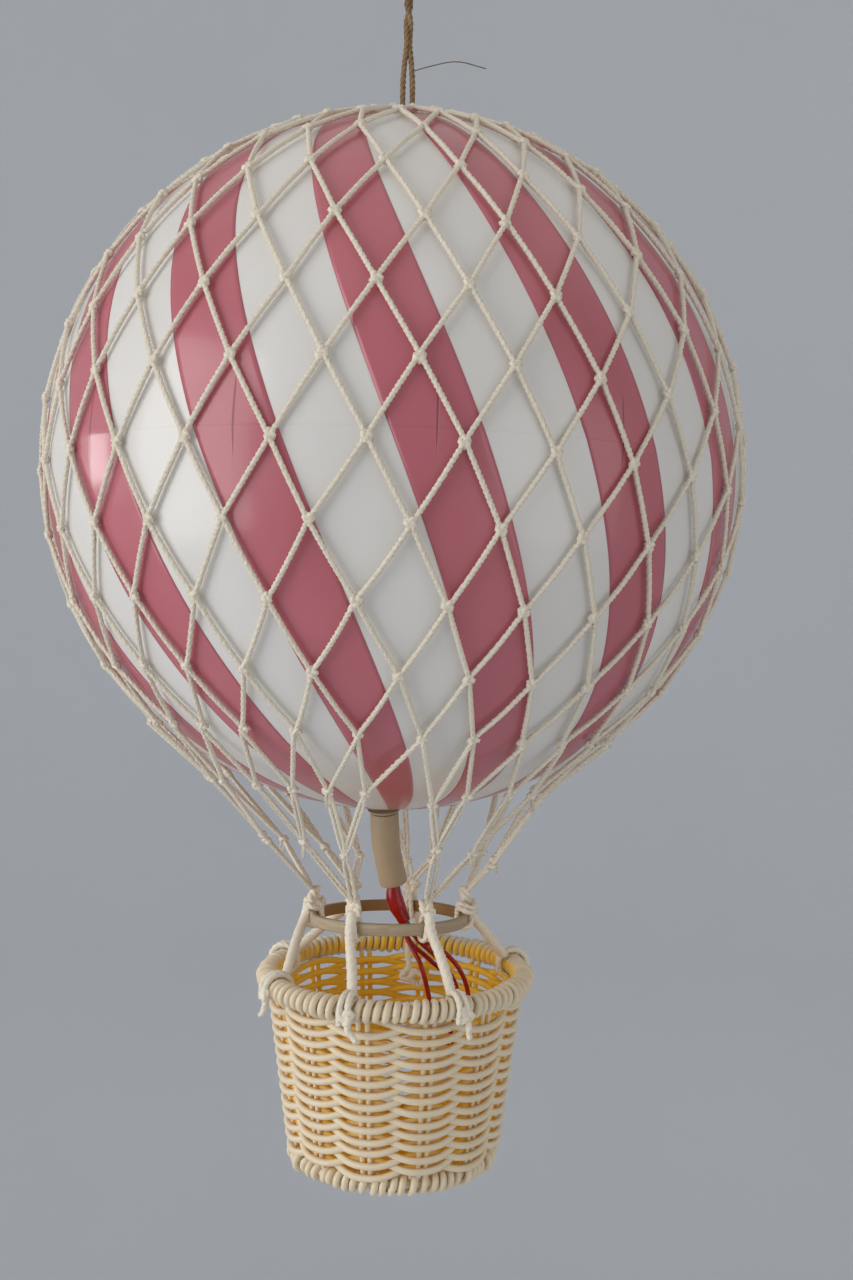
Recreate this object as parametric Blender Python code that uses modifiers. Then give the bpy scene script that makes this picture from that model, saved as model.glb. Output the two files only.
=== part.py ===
# Hanging model of a hot air balloon: a striped ball in a knotted cord net, a cane hoop under it,
# and a wicker basket on six short cords. Metres, +Z up. The origin is where a hook carries the loop.

import math

import bmesh
import bpy
import numpy as np
from mathutils import Matrix, Vector

# Driving dimensions

BALL_RADIUS = 0.150
BALL_X = -0.0035
HOOK_TO_BALL_TOP = 0.082
BALL_Z = -(HOOK_TO_BALL_TOP + BALL_RADIUS)
BALL = Vector((BALL_X, 0.0, BALL_Z))
FILM_THICKNESS = 0.0015
BALL_LEAN = (math.radians(-2.6), math.radians(1.0))

STRIPE_COUNT = 13
STRIPE_SHARE = 0.46
STRIPE_AZIMUTH = math.radians(33.2)
STRIPE_TWIST = 0.405
STRIPE_STAND_OFF = 0.00025
STRIPE_THICKNESS = 0.0004

NET_COLUMNS = 28
NET_BAR = 0.0334
NET_RADIUS = 0.1531
NET_CORD = 0.0019
NET_FIRST_AZIMUTH = math.radians(-67.9)
NET_MIDDLE_ROW = math.radians(94.6)
NET_LEAN = (math.radians(-5.6), math.radians(2.2))
CROWN_LEAN = (0.0, math.radians(1.3))
CROWN_RADIUS = 0.018
CROWN_ROW, LAST_BALL_ROW, FREE_ROW = -8, 4, 5
FREE_RADIUS, FREE_POLAR = 0.1566, math.radians(152)
FREE_AZIMUTHS = [math.radians(a) for a in (
    -72, -60, -41, -27, -15, -3.5, 20, 29, 46, 60, 73, 84, 95, 106,
    120, 130, 147, 157, 171, 181, 197, 207, 223, 232, 249, 259, 271, 279)]
JOIN_AZIMUTHS = [math.radians(a) for a in (
    -70, -35.4, -18.9, 18.7, 37.2, 72, 93, 114, 151, 168, 200, 222, 251, 275)]
JOIN_DROPS = [0.162, 0.1565, 0.1615, 0.1583, 0.1618, 0.1733, 0.1735,
              0.174, 0.181, 0.182, 0.18, 0.175, 0.168, 0.162]
JOIN_TIES = [5, 0, 0, 1, 1, 2, 2, 2, 3, 3, 4, 4, 5, 5]

HOOP_X = -0.0032
HOOP_Z = BALL_Z - 0.200
HOOP_RADIUS = 0.0339
HOOP_THICK, HOOP_TALL = 0.0030, 0.0052
HOOP_LEAN = math.radians(-4.3)
HOOP_TIES = [math.radians(a) for a in (-26, 28, 95, 163, 210, 263)]

RIM_Z = BALL_Z - 0.2258
RIM_RADIUS = 0.0571
RIM_TUBE = 0.0050
RIM_TIES = [math.radians(a) for a in (-19, 27, 110, 165, 245, 297)]

FOOT_Z = BALL_Z - 0.3047
FOOT_RADIUS = 0.0428
FOOT_TUBE = 0.0048
WALL_ROWS = 13
WALL_THICK = 0.0052
WALL_TOP_RADIUS = 0.0572
WALL_FOOT_RADIUS = 0.0482
GAP = 0.0004

TWINE = 0.0022
KNOT_Z = -0.026
STRING_TOP_Z = -0.0308
CROWN_KNOT_Z = BALL_Z + BALL_RADIUS + 0.0048

NECK_RADIUS = 0.0063
NECK_END = Vector((-0.0014, 0.0, BALL_Z - 0.1842))
SLEEVE_RADIUS = 0.0034
SLEEVE_END = Vector((0.0039, 0.0, BALL_Z - 0.2022))
LEAD = 0.0016
PLUG_SIZE = (0.0104, 0.0032, 0.0140)
PLUG_TOP = Vector((0.0220, 0.0, BALL_Z - 0.2604))

# Scene and materials

for thing in list(bpy.data.objects):
    bpy.data.objects.remove(thing, do_unlink=True)

parts = bpy.data.collections.new("hanging_model_balloon")
bpy.context.scene.collection.children.link(parts)


def material(name, color, roughness, metallic=0.0):
    """A Principled material of one colour."""
    made = bpy.data.materials.new(name)
    made.use_nodes = True
    shader = made.node_tree.nodes["Principled BSDF"]
    shader.inputs["Base Color"].default_value = (*color, 1.0)
    shader.inputs["Roughness"].default_value = roughness
    shader.inputs["Metallic"].default_value = metallic
    made.diffuse_color = (*color, 1.0)
    return made


WHITE_FILM = material("white_film", (0.83, 0.80, 0.76), 0.38)
PINK_FILM = material("pink_film", (0.60, 0.23, 0.28), 0.38)
COTTON = material("cotton_cord", (0.80, 0.74, 0.61), 0.85)
JUTE = material("jute_twine", (0.42, 0.30, 0.18), 0.9)
CANE = material("hoop_cane", (0.50, 0.42, 0.31), 0.6)
REED = material("basket_reed", (0.80, 0.66, 0.42), 0.55)
RUBBER = material("neck_rubber", (0.48, 0.42, 0.33), 0.6)
RED = material("red_insulation", (0.36, 0.01, 0.01), 0.3)
NYLON = material("plug_plastic", (0.80, 0.79, 0.75), 0.4)


# Shapes that several sub-parts share

def link(obj, look):
    """Put an object in the part's collection with its material."""
    parts.objects.link(obj)
    obj.data.materials.clear()
    obj.data.materials.append(look)
    return obj


def solid(name, vertices, faces, look, smooth=True):
    """A closed mesh from vertices and faces, with its faces outward."""
    mesh = bpy.data.meshes.new(name)
    mesh.from_pydata([tuple(v) for v in vertices], [], faces)
    work = bmesh.new()
    work.from_mesh(mesh)
    bmesh.ops.recalc_face_normals(work, faces=work.faces)
    work.to_mesh(mesh)
    work.free()
    if smooth:
        mesh.shade_smooth()
        mesh.set_sharp_from_angle(angle=math.radians(40))
    return link(bpy.data.objects.new(name, mesh), look)


def tube(name, points, radius, look, closed=False, sides=2):
    """A round tube along points, with filled ends unless it is closed."""
    curve = bpy.data.curves.new(name, "CURVE")
    curve.dimensions = "3D"
    curve.bevel_depth = radius
    curve.bevel_resolution = sides
    curve.use_fill_caps = not closed
    spline = curve.splines.new("POLY")
    spline.points.add(len(points) - 1)
    for slot, point in zip(spline.points, points):
        slot.co = (*point, 1.0)
    spline.use_cyclic_u = closed
    spline.use_smooth = True
    return link(bpy.data.objects.new(name, curve), look)


def turned(name, profile, look, steps, place=Matrix.Identity(4)):
    """A closed profile of (radius, height) pairs, turned round Z and then placed."""
    mesh = bpy.data.meshes.new(name)
    count = len(profile)
    edges = [(i, (i + 1) % count) for i in range(count)]
    mesh.from_pydata([(r, 0.0, z) for r, z in profile], edges, [])
    obj = link(bpy.data.objects.new(name, mesh), look)
    screw = obj.modifiers.new("turn", "SCREW")
    screw.steps = steps
    screw.render_steps = steps
    screw.use_merge_vertices = True
    screw.merge_threshold = 0.00001
    screw.use_smooth_shade = True
    obj.matrix_world = place
    return obj


def ring_profile(radius, tube_radius, sides):
    """A circle for a torus, which runs down its outer side first."""
    turns = [-2 * math.pi * i / sides for i in range(sides)]
    return [(radius + tube_radius * math.cos(t), tube_radius * math.sin(t)) for t in turns]


def ball_knot(name, centre, radius, height, look, segments=12, rings=6):
    """A pressed round knot: a ball whose height is its own."""
    mesh = bpy.data.meshes.new(name)
    work = bmesh.new()
    bmesh.ops.create_uvsphere(work, u_segments=segments, v_segments=rings, radius=radius)
    for vertex in work.verts:
        vertex.co.z *= height / radius
    work.to_mesh(mesh)
    work.free()
    mesh.shade_smooth()
    obj = link(bpy.data.objects.new(name, mesh), look)
    obj.location = centre
    return obj


def smooth_route(points, count):
    """Points spread evenly along a smooth curve through the given ones."""
    points = np.array([tuple(p) for p in points])
    steps = np.linalg.norm(np.diff(points, axis=0), axis=1)
    slopes = np.diff(points, axis=0) / steps[:, None]
    before, after = steps[:-1, None], steps[1:, None]
    inner = (after * slopes[:-1] + before * slopes[1:]) / (before + after)
    tangents = np.vstack([slopes[:1], inner, slopes[-1:]])
    along = np.concatenate([[0.0], np.cumsum(steps)])
    at = np.linspace(0.0, along[-1], count)
    k = np.clip(np.searchsorted(along, at, side="right") - 1, 0, len(steps) - 1)
    h = steps[k][:, None]
    t = (at - along[k])[:, None] / h
    route = (points[k] * (1 + 2 * t) * (1 - t) ** 2 + tangents[k] * h * t * (1 - t) ** 2
             + points[k + 1] * t * t * (3 - 2 * t) + tangents[k + 1] * h * t * t * (t - 1))
    return [Vector(p) for p in route]


def polar_point(radius, polar, azimuth):
    """A point on a sphere: polar angle from +Z, azimuth from -Y towards +X."""
    flat = radius * math.sin(polar)
    return Vector((flat * math.sin(azimuth), -flat * math.cos(azimuth), radius * math.cos(polar)))


def lean(angles):
    """A turn about Y and then about X."""
    return Matrix.Rotation(angles[0], 3, "X") @ Matrix.Rotation(angles[1], 3, "Y")


def radial_frame(azimuth, radius, height, turn=Matrix.Identity(3), aside=0.0):
    """A function from (outwards, upwards) to a point, in the upright plane at an azimuth."""
    out = Vector((math.sin(azimuth), -math.cos(azimuth), 0.0))

    def place(outwards, upwards):
        local = out * (radius + outwards) + Vector((0.0, 0.0, upwards))
        return turn @ local + Vector((aside, 0.0, height))
    return place


# Hanging loop and string

def hanging_loop():
    """A teardrop of twine, whose top arc rests on a hook at the origin."""
    points = []
    for i in range(18):
        t = 2 * math.pi * i / 18
        width = 0.0072 * math.sin(t) * (0.62 + 0.38 * math.cos(t))
        points.append((width, 0.0, TWINE / 2 - 0.0113 * (1 - math.cos(t))))
    tube("hang_loop", points, TWINE / 2, JUTE, closed=True)


def loop_knot():
    """The knot that closes the loop, just under it."""
    ball_knot("loop_knot", (0.0, 0.0, KNOT_Z - 0.0004), 0.0040, 0.0034, JUTE)


def string():
    """Two strands of twine side by side, laid once round each other."""
    bottom = CROWN_KNOT_Z + 0.0030 + GAP + 0.0002
    for index, name in enumerate(("string_strand_a", "string_strand_b")):
        points = []
        for i in range(14):
            t = i / 13
            turn = math.pi * (index + 0.5 + 2 * t)
            reach = 0.5 * TWINE + 0.0002
            points.append((reach * math.cos(turn), reach * math.sin(turn),
                           STRING_TOP_Z + (bottom - STRING_TOP_Z) * t))
        tube(name, points, TWINE / 2 - 0.0001, JUTE)


# Ball

def stripe_edges(polar):
    """The azimuths of both edges of every stripe at a polar angle."""
    half = math.pi / STRIPE_COUNT * STRIPE_SHARE
    middle = STRIPE_AZIMUTH + STRIPE_TWIST * (polar - math.pi / 2)
    step = 2 * math.pi / STRIPE_COUNT
    return [middle + k * step + side * half for k in range(STRIPE_COUNT) for side in (-1, 1)]


def ball_rings(radius, polars):
    """Rings of points on the leaning ball, with a point on each stripe edge."""
    turn = lean(BALL_LEAN)
    return [[BALL + turn @ polar_point(radius, p, a) for a in stripe_edges(p)] for p in polars]


def skin_between(rings, first, columns):
    """Quads between one ring of points and the next, numbered from first."""
    faces = []
    for i in range(len(rings) - 1):
        for j in range(columns):
            k = (j + 1) % columns
            a, b = first + i * columns, first + (i + 1) * columns
            faces.append((a + j, a + k, b + k, b + j))
    return faces


OUTER_POLARS = [math.radians(p) for p in (3, 6.5, *range(16, 167, 10), 172, 177.4)]
INNER_POLARS = [math.radians(p) for p in (3, 22, 41, 60, 79, 98, 117, 136, 155, 170, 177.4)]


def envelope():
    """The ball as a thin shell, open only at the neck under it."""
    columns = 2 * STRIPE_COUNT
    outer = ball_rings(BALL_RADIUS, OUTER_POLARS)
    inner = ball_rings(BALL_RADIUS - FILM_THICKNESS, INNER_POLARS)
    vertices = [p for ring in outer + inner for p in ring]
    start = len(outer) * columns
    faces = skin_between(outer, 0, columns) + skin_between(inner, start, columns)
    faces.append(tuple(range(columns)))
    faces.append(tuple(start + j for j in range(columns)))
    for j in range(columns):
        k = (j + 1) % columns
        a, b = start - columns, len(vertices) - columns
        faces.append((a + j, a + k, b + k, b + j))
    solid("envelope", vertices, faces, WHITE_FILM)


def envelope_stripes():
    """The pink stripes, a skin that lies on the ball, joined by a small ring at the crown."""
    columns = 2 * STRIPE_COUNT
    polars = OUTER_POLARS[:-1]
    low = ball_rings(BALL_RADIUS + STRIPE_STAND_OFF, polars)
    high = ball_rings(BALL_RADIUS + STRIPE_STAND_OFF + STRIPE_THICKNESS, polars)
    vertices = [p for ring in low + high for p in ring]
    above = len(low) * columns
    faces = []
    for i in range(len(polars) - 1):
        a, b = i * columns, (i + 1) * columns
        for j in range(columns):
            k = (j + 1) % columns
            stripe = j % 2 == 0
            if i == 0 or stripe:
                faces.append((a + j, b + j, b + k, a + k))
                faces.append((above + a + j, above + a + k, above + b + k, above + b + j))
            if i == 0:
                faces.append((a + j, a + k, above + a + k, above + a + j))
                if not stripe:
                    faces.append((b + j, above + b + j, above + b + k, b + k))
            elif stripe:
                faces.append((a + j, above + a + j, above + b + j, b + j))
                faces.append((a + k, b + k, above + b + k, above + a + k))
            if i == len(polars) - 2 and stripe:
                faces.append((b + j, above + b + j, above + b + k, b + k))
    solid("envelope_stripes", vertices, faces, PINK_FILM)


# Net

def next_row(polar, way):
    """The polar angle of the next row of knots, one bar length away."""
    half = math.pi / NET_COLUMNS
    here = polar_point(NET_RADIUS, polar, 0.0)
    there = polar + way * 0.19
    for _ in range(30):
        length = (polar_point(NET_RADIUS, there, half) - here).length
        there += way * (NET_BAR - length) / NET_RADIUS
    return there


def row_polars():
    """Polar angles of the rows that lie on the ball."""
    polars = {0: NET_MIDDLE_ROW}
    for row in range(0, LAST_BALL_ROW):
        polars[row + 1] = next_row(polars[row], 1)
    for row in range(0, CROWN_ROW + 1, -1):
        polars[row - 1] = next_row(polars[row], -1)
    polars[CROWN_ROW] = math.asin(CROWN_RADIUS / NET_RADIUS)
    return polars


def blend(a, b, share):
    """Part of the way from a to b, for each of their numbers."""
    return tuple(p + (q - p) * share for p, q in zip(a, b))


def tie_top(index):
    """Where the legs of the net meet, just above a tie on the hoop."""
    place = radial_frame(HOOP_TIES[index], HOOP_RADIUS, HOOP_Z, Matrix.Rotation(HOOP_LEAN, 3, "X"), HOOP_X)
    return place(0.0004, 0.0107)


def net_knots():
    """Every knot of the net, as {(row, column): point}, and the points that join the last knots in pairs."""
    half = math.pi / NET_COLUMNS
    knots = {}
    for row, polar in row_polars().items():
        share = {CROWN_ROW: 0.0, CROWN_ROW + 1: 0.35, CROWN_ROW + 2: 0.75}.get(row, 1.0)
        turn = lean(blend(CROWN_LEAN, NET_LEAN, share))
        for column in range(NET_COLUMNS):
            azimuth = NET_FIRST_AZIMUTH + (2 * column + row % 2) * half
            knots[row, column] = BALL + turn @ polar_point(NET_RADIUS, polar, azimuth)
    turn = lean(NET_LEAN)
    for column, azimuth in enumerate(FREE_AZIMUTHS):
        knots[FREE_ROW, column] = BALL + turn @ polar_point(FREE_RADIUS, FREE_POLAR, azimuth)
    joins = []
    for azimuth, drop in zip(JOIN_AZIMUTHS, JOIN_DROPS):
        share = (drop - 0.138) / 0.051
        radius = 0.077 - 0.043 * share
        joins.append(Vector((BALL_X * (1 - share) + HOOP_X * share + radius * math.sin(azimuth),
                             -radius * math.cos(azimuth), BALL_Z - drop)))
    return knots, joins


def net():
    """The knotted net: one face for each mesh, and then a bar along each edge."""
    knots, joins = net_knots()
    number = {key: i for i, key in enumerate(knots)}
    vertices = list(knots.values())
    faces = []
    for row in range(CROWN_ROW + 1, FREE_ROW):
        for column in range(NET_COLUMNS):
            following = (column + 1) % NET_COLUMNS
            between = following if row % 2 else column
            corners = ((row - 1, between), (row, column), (row + 1, between), (row, following))
            faces.append([number[key] for key in corners])
    first_join = len(vertices)
    vertices += joins
    first_tie = len(vertices)
    vertices += [tie_top(i) for i in range(len(HOOP_TIES))]
    for k, tie in enumerate(JOIN_TIES):
        left, right = 2 * k, 2 * k + 1
        faces.append([number[LAST_BALL_ROW, right], number[FREE_ROW, left], first_join + k,
                      number[FREE_ROW, right]])
        following = (k + 1) % len(joins)
        after = (right + 1) % NET_COLUMNS
        if JOIN_TIES[following] == tie:
            faces.append([number[LAST_BALL_ROW, after], number[FREE_ROW, right], first_join + k,
                          first_tie + tie, first_join + following, number[FREE_ROW, after]])
    mesh = bpy.data.meshes.new("net")
    mesh.from_pydata([tuple(v) for v in vertices], [], faces)
    work = bmesh.new()
    work.from_mesh(mesh)
    bmesh.ops.recalc_face_normals(work, faces=work.faces)
    work.to_mesh(mesh)
    work.free()
    obj = link(bpy.data.objects.new("net", mesh), COTTON)
    bars = obj.modifiers.new("bars", "WIREFRAME")
    bars.thickness = NET_CORD
    bars.offset = 0.0
    bars.use_boundary = True
    bars.use_even_offset = False
    bars.use_replace = True


def crown():
    """The cord ring that the net is gathered on, and the knot that joins it to the string."""
    tilt = lean(CROWN_LEAN).to_4x4()
    seat = Matrix.Translation(BALL) @ tilt
    height = NET_RADIUS * math.cos(math.asin(CROWN_RADIUS / NET_RADIUS)) + NET_CORD / 2 + GAP + 0.0015
    turned("crown_ring", ring_profile(CROWN_RADIUS, 0.0015, 8), COTTON, 28,
           seat @ Matrix.Translation((0.0, 0.0, height)))


# Hoop and its ties

def hoop():
    """A flat band of cane, bent to a ring, with its corners taken off."""
    w, t, c = HOOP_THICK / 2, HOOP_TALL / 2, 0.0007
    profile = [(w - c, t), (w, t - c), (w, c - t), (w - c, -t),
               (c - w, -t), (-w, c - t), (-w, t - c), (c - w, t)]
    profile = [(HOOP_RADIUS + x, z) for x, z in profile]
    turned("hoop", profile, CANE, 40,
           Matrix.Translation((HOOP_X, 0.0, HOOP_Z)) @ Matrix.Rotation(HOOP_LEAN, 4, "X"))


TIE_LOOP = [(0.00315, 0.0015), (0.00315, -0.0015), (0.00275, -0.0036), (0.0012, -0.00445),
            (-0.0012, -0.00445), (-0.00275, -0.0036), (-0.00315, -0.0015), (-0.00315, 0.0015),
            (-0.0024, 0.0055), (0.0, 0.0080), (0.0024, 0.0055)]


def hoop_ties():
    """Six loops of cord round the band, where the legs of the net end."""
    turn = Matrix.Rotation(HOOP_LEAN, 3, "X")
    for i, azimuth in enumerate(HOOP_TIES):
        place = radial_frame(azimuth, HOOP_RADIUS, HOOP_Z, turn, HOOP_X)
        tube(f"hoop_tie_{i + 1}", [place(*p) for p in TIE_LOOP], 0.0013, COTTON, closed=True)


# Cords between hoop and basket

def suspension_cords():
    """Six short cords, each from a tie on the hoop down and out to a tie on the rim."""
    turn = Matrix.Rotation(HOOP_LEAN, 3, "X")
    for i, (upper, lower) in enumerate(zip(HOOP_TIES, RIM_TIES)):
        band = radial_frame(upper, HOOP_RADIUS, HOOP_Z, turn, HOOP_X)(0.0, 0.0)
        rim = radial_frame(lower, RIM_RADIUS, RIM_Z)(0.0, 0.0)
        way = (rim - band).normalized()
        start, finish = band + way * 0.0061, rim - way * 0.0087
        points = [start.lerp(finish, k / 4) for k in range(5)]
        tube(f"suspension_cord_{i + 1}", points, 0.0020, COTTON)


def rim_ties():
    """Six turns of cord over the rim, each with a short loose tail outside."""
    for i, azimuth in enumerate(RIM_TIES):
        place = radial_frame(azimuth, RIM_RADIUS, RIM_Z)
        turns = [math.radians(a) for a in (214, 180, 146, 112, 78, 44, 10)]
        points = [(0.00675 * math.cos(t), 0.00675 * math.sin(t)) for t in turns]
        points += [(0.0068, -0.0045), (0.0077, -0.0100), (0.0090, -0.0150)]
        tube(f"rim_tie_{i + 1}", [place(*p) for p in points], 0.0014, COTTON)


# Basket

def basket():
    """The wicker basket: coiled rim, woven wall, coiled foot and flat floor."""
    turned("basket_rim", ring_profile(RIM_RADIUS, RIM_TUBE, 8), REED, 44,
           Matrix.Translation((0.0, 0.0, RIM_Z)))
    turned("basket_foot", ring_profile(FOOT_RADIUS, FOOT_TUBE, 8), REED, 36,
           Matrix.Translation((0.0, 0.0, FOOT_Z)))
    top = RIM_Z - RIM_TUBE - GAP
    bottom = FOOT_Z + FOOT_TUBE + GAP
    rows = 2 * WALL_ROWS - 1
    profile = []
    for i in range(rows):
        t = i / (rows - 1)
        ridge = 0.0007 if i % 2 == 0 else -0.0006
        radius = WALL_TOP_RADIUS + (WALL_FOOT_RADIUS - WALL_TOP_RADIUS) * t + ridge
        profile.append((radius - 0.0007, top + (bottom - top) * t))
    profile += [(WALL_FOOT_RADIUS - WALL_THICK, bottom), (WALL_TOP_RADIUS - WALL_THICK, top)]
    turned("basket_wall", profile, REED, 32)
    floor = bpy.data.meshes.new("basket_floor")
    work = bmesh.new()
    bmesh.ops.create_cone(work, cap_ends=True, segments=32, depth=0.0034,
                          radius1=FOOT_RADIUS - FOOT_TUBE - GAP, radius2=FOOT_RADIUS - FOOT_TUBE - GAP)
    work.to_mesh(floor)
    work.free()
    link(bpy.data.objects.new("basket_floor", floor), REED).location = (0.0, 0.0, FOOT_Z + 0.0010)


# Neck, sleeve and leads

def neck():
    """The soft neck under the ball, bent a little, and the red sleeve that comes out of it."""
    pole = BALL + lean(BALL_LEAN) @ Vector((0.0, 0.0, -BALL_RADIUS + 0.0005))
    middle = (pole + NECK_END) / 2 + Vector((-0.0012, 0.0, 0.0))
    tube("neck", smooth_route([pole, middle, NECK_END], 6), NECK_RADIUS, RUBBER, sides=4)
    first = NECK_END + Vector((0.0, 0.0, -0.0012))
    tube("lead_sleeve", smooth_route([first, first + Vector((0.0006, 0.0, -0.006)), SLEEVE_END], 5),
         SLEEVE_RADIUS, RED)


# Each lead's place in the end of the sleeve, and its route below it from the ball's centre, in mm
LEAD_ROUTES = {
    "lead_a": ((-0.9, -0.9), [(10.9, -6.0, -219.4), (14.3, -7.0, -231.0), (15.9, -6.0, -239.0),
                              (17.0, -2.5, -250.0), (18.4, 0.0, -260.0)]),
    "lead_b": ((-0.9, 0.9), [(15.6, 6.0, -221.0), (22.6, 8.5, -228.5), (25.4, 8.0, -237.0),
                             (23.4, 4.0, -250.0), (20.8, 0.0, -260.0)]),
    "lead_c": ((0.9, 0.9), [(19.0, 2.6, -219.4), (26.7, 3.4, -230.0), (29.0, 3.2, -239.0),
                            (26.2, 1.5, -250.0), (23.2, 0.0, -260.0)]),
    "lead_d": ((0.9, -0.9), [(20.3, -2.6, -213.9), (28.6, -3.2, -222.6), (33.0, -3.2, -236.0),
                             (30.6, -1.5, -249.0), (25.6, 0.0, -260.0)]),
}


def leads():
    """Four thin leads that fan out of the sleeve and meet in a small flat plug."""
    way = (SLEEVE_END - NECK_END - Vector((0.0006, 0.0, -0.006))).normalized()
    aside = Vector((0.0, 1.0, 0.0)).cross(way)
    for name, ((out, back), route) in LEAD_ROUTES.items():
        start = SLEEVE_END + way * 0.0006 - aside * (out / 1000) + Vector((0.0, back / 1000, 0.0))
        points = [start, start + way * 0.0055 - aside * (out / 1500)]
        points += [Vector(p) / 1000 + Vector((0.0, 0.0, BALL_Z)) for p in route]
        tube(name, smooth_route(points, 13), LEAD / 2, RED)
    plug = bpy.data.meshes.new("lead_plug")
    work = bmesh.new()
    bmesh.ops.create_cube(work, size=1.0)
    bmesh.ops.scale(work, vec=PLUG_SIZE, verts=work.verts)
    work.to_mesh(plug)
    work.free()
    obj = link(bpy.data.objects.new("lead_plug", plug), NYLON)
    obj.location = PLUG_TOP - Vector((0.0, 0.0, PLUG_SIZE[2] / 2))


def crown_knot():
    """A flat knot of twine in the middle of the crown ring."""
    ball_knot("crown_knot", (0.0, 0.0, CROWN_KNOT_Z), 0.0160, 0.0030, JUTE, 16, 6)


hanging_loop()
loop_knot()
string()
envelope()
envelope_stripes()
net()
crown()
crown_knot()
neck()
leads()
hoop()
hoop_ties()
suspension_cords()
rim_ties()
basket()
bpy.context.view_layer.update()
print(len(parts.objects), "sub-parts")
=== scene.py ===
# %% [markdown]
# # A hanging model of a hot air balloon
# A blown-up film ball with slanting stripes hangs in a knotted cotton net. The net ends on a cane
# hoop, and six short cords carry a small wicker basket. The CAD part gives every place and size, and
# this lesson dresses it: cords that are laid from strands, woven reed, film with a soft gloss.

import math

import bpy
import numpy as np
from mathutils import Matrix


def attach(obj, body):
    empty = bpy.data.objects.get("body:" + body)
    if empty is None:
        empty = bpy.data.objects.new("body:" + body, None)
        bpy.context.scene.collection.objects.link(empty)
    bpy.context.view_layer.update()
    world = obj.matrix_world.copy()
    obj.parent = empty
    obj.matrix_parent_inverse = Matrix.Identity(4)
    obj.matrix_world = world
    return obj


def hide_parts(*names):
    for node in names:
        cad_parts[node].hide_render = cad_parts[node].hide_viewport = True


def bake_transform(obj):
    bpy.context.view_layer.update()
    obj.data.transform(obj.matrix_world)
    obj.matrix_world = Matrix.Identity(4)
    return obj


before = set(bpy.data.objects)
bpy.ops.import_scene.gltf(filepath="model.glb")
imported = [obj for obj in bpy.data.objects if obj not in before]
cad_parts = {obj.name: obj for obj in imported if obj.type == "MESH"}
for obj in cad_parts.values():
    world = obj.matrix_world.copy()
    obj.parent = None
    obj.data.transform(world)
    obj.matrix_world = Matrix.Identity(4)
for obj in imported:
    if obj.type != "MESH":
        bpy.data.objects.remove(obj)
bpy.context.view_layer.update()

# %% [markdown]
# ## Camera
# The view is taken from a little above the hoop, two thirds of a metre in front of the ball. The lens
# and the place follow from the ball's round outline and the lattice of its net, and the small roll is
# that of a camera held in the hand.

# %% Camera
camera = bpy.data.objects.new("camera", bpy.data.cameras.new("camera"))
bpy.context.scene.collection.objects.link(camera)
camera.data.lens = 41.9595
camera.data.sensor_width = 36.0
camera.location = (-0.004268, -0.663282, -0.269322)
camera.rotation_euler = [math.radians(a) for a in (86.75899, -0.83905, -1.33640)]
bpy.context.scene.camera = camera
bpy.context.scene.view_settings.view_transform = "Standard"
print("camera", tuple(camera.location))

# %% [markdown]
# ## Surfaces from grids
# Every new piece is a grid of points that numpy works out at once: one axis runs along the piece and
# the other round it. A batch of equal grids makes many cords in one mesh. The faces follow from the
# grid's numbering, so no point is placed by hand.

# %% Grid surfaces
UP = np.array([0.0, 0.0, 1.0])
DOWN = -UP
BACK = np.array([0.0, 1.0, 0.0])


def unit(vectors):
    """Vectors divided by their own length."""
    return vectors / np.linalg.norm(vectors, axis=-1, keepdims=True)


def full_turn(count):
    """Angles spread evenly round a circle: 2 pi k / count."""
    return 2 * np.pi * np.arange(count) / count


def way_map(around, far):
    """The UV of a grid: how far round each point is, and how far along."""
    return np.stack(np.broadcast_arrays(around, far), -1)


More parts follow.
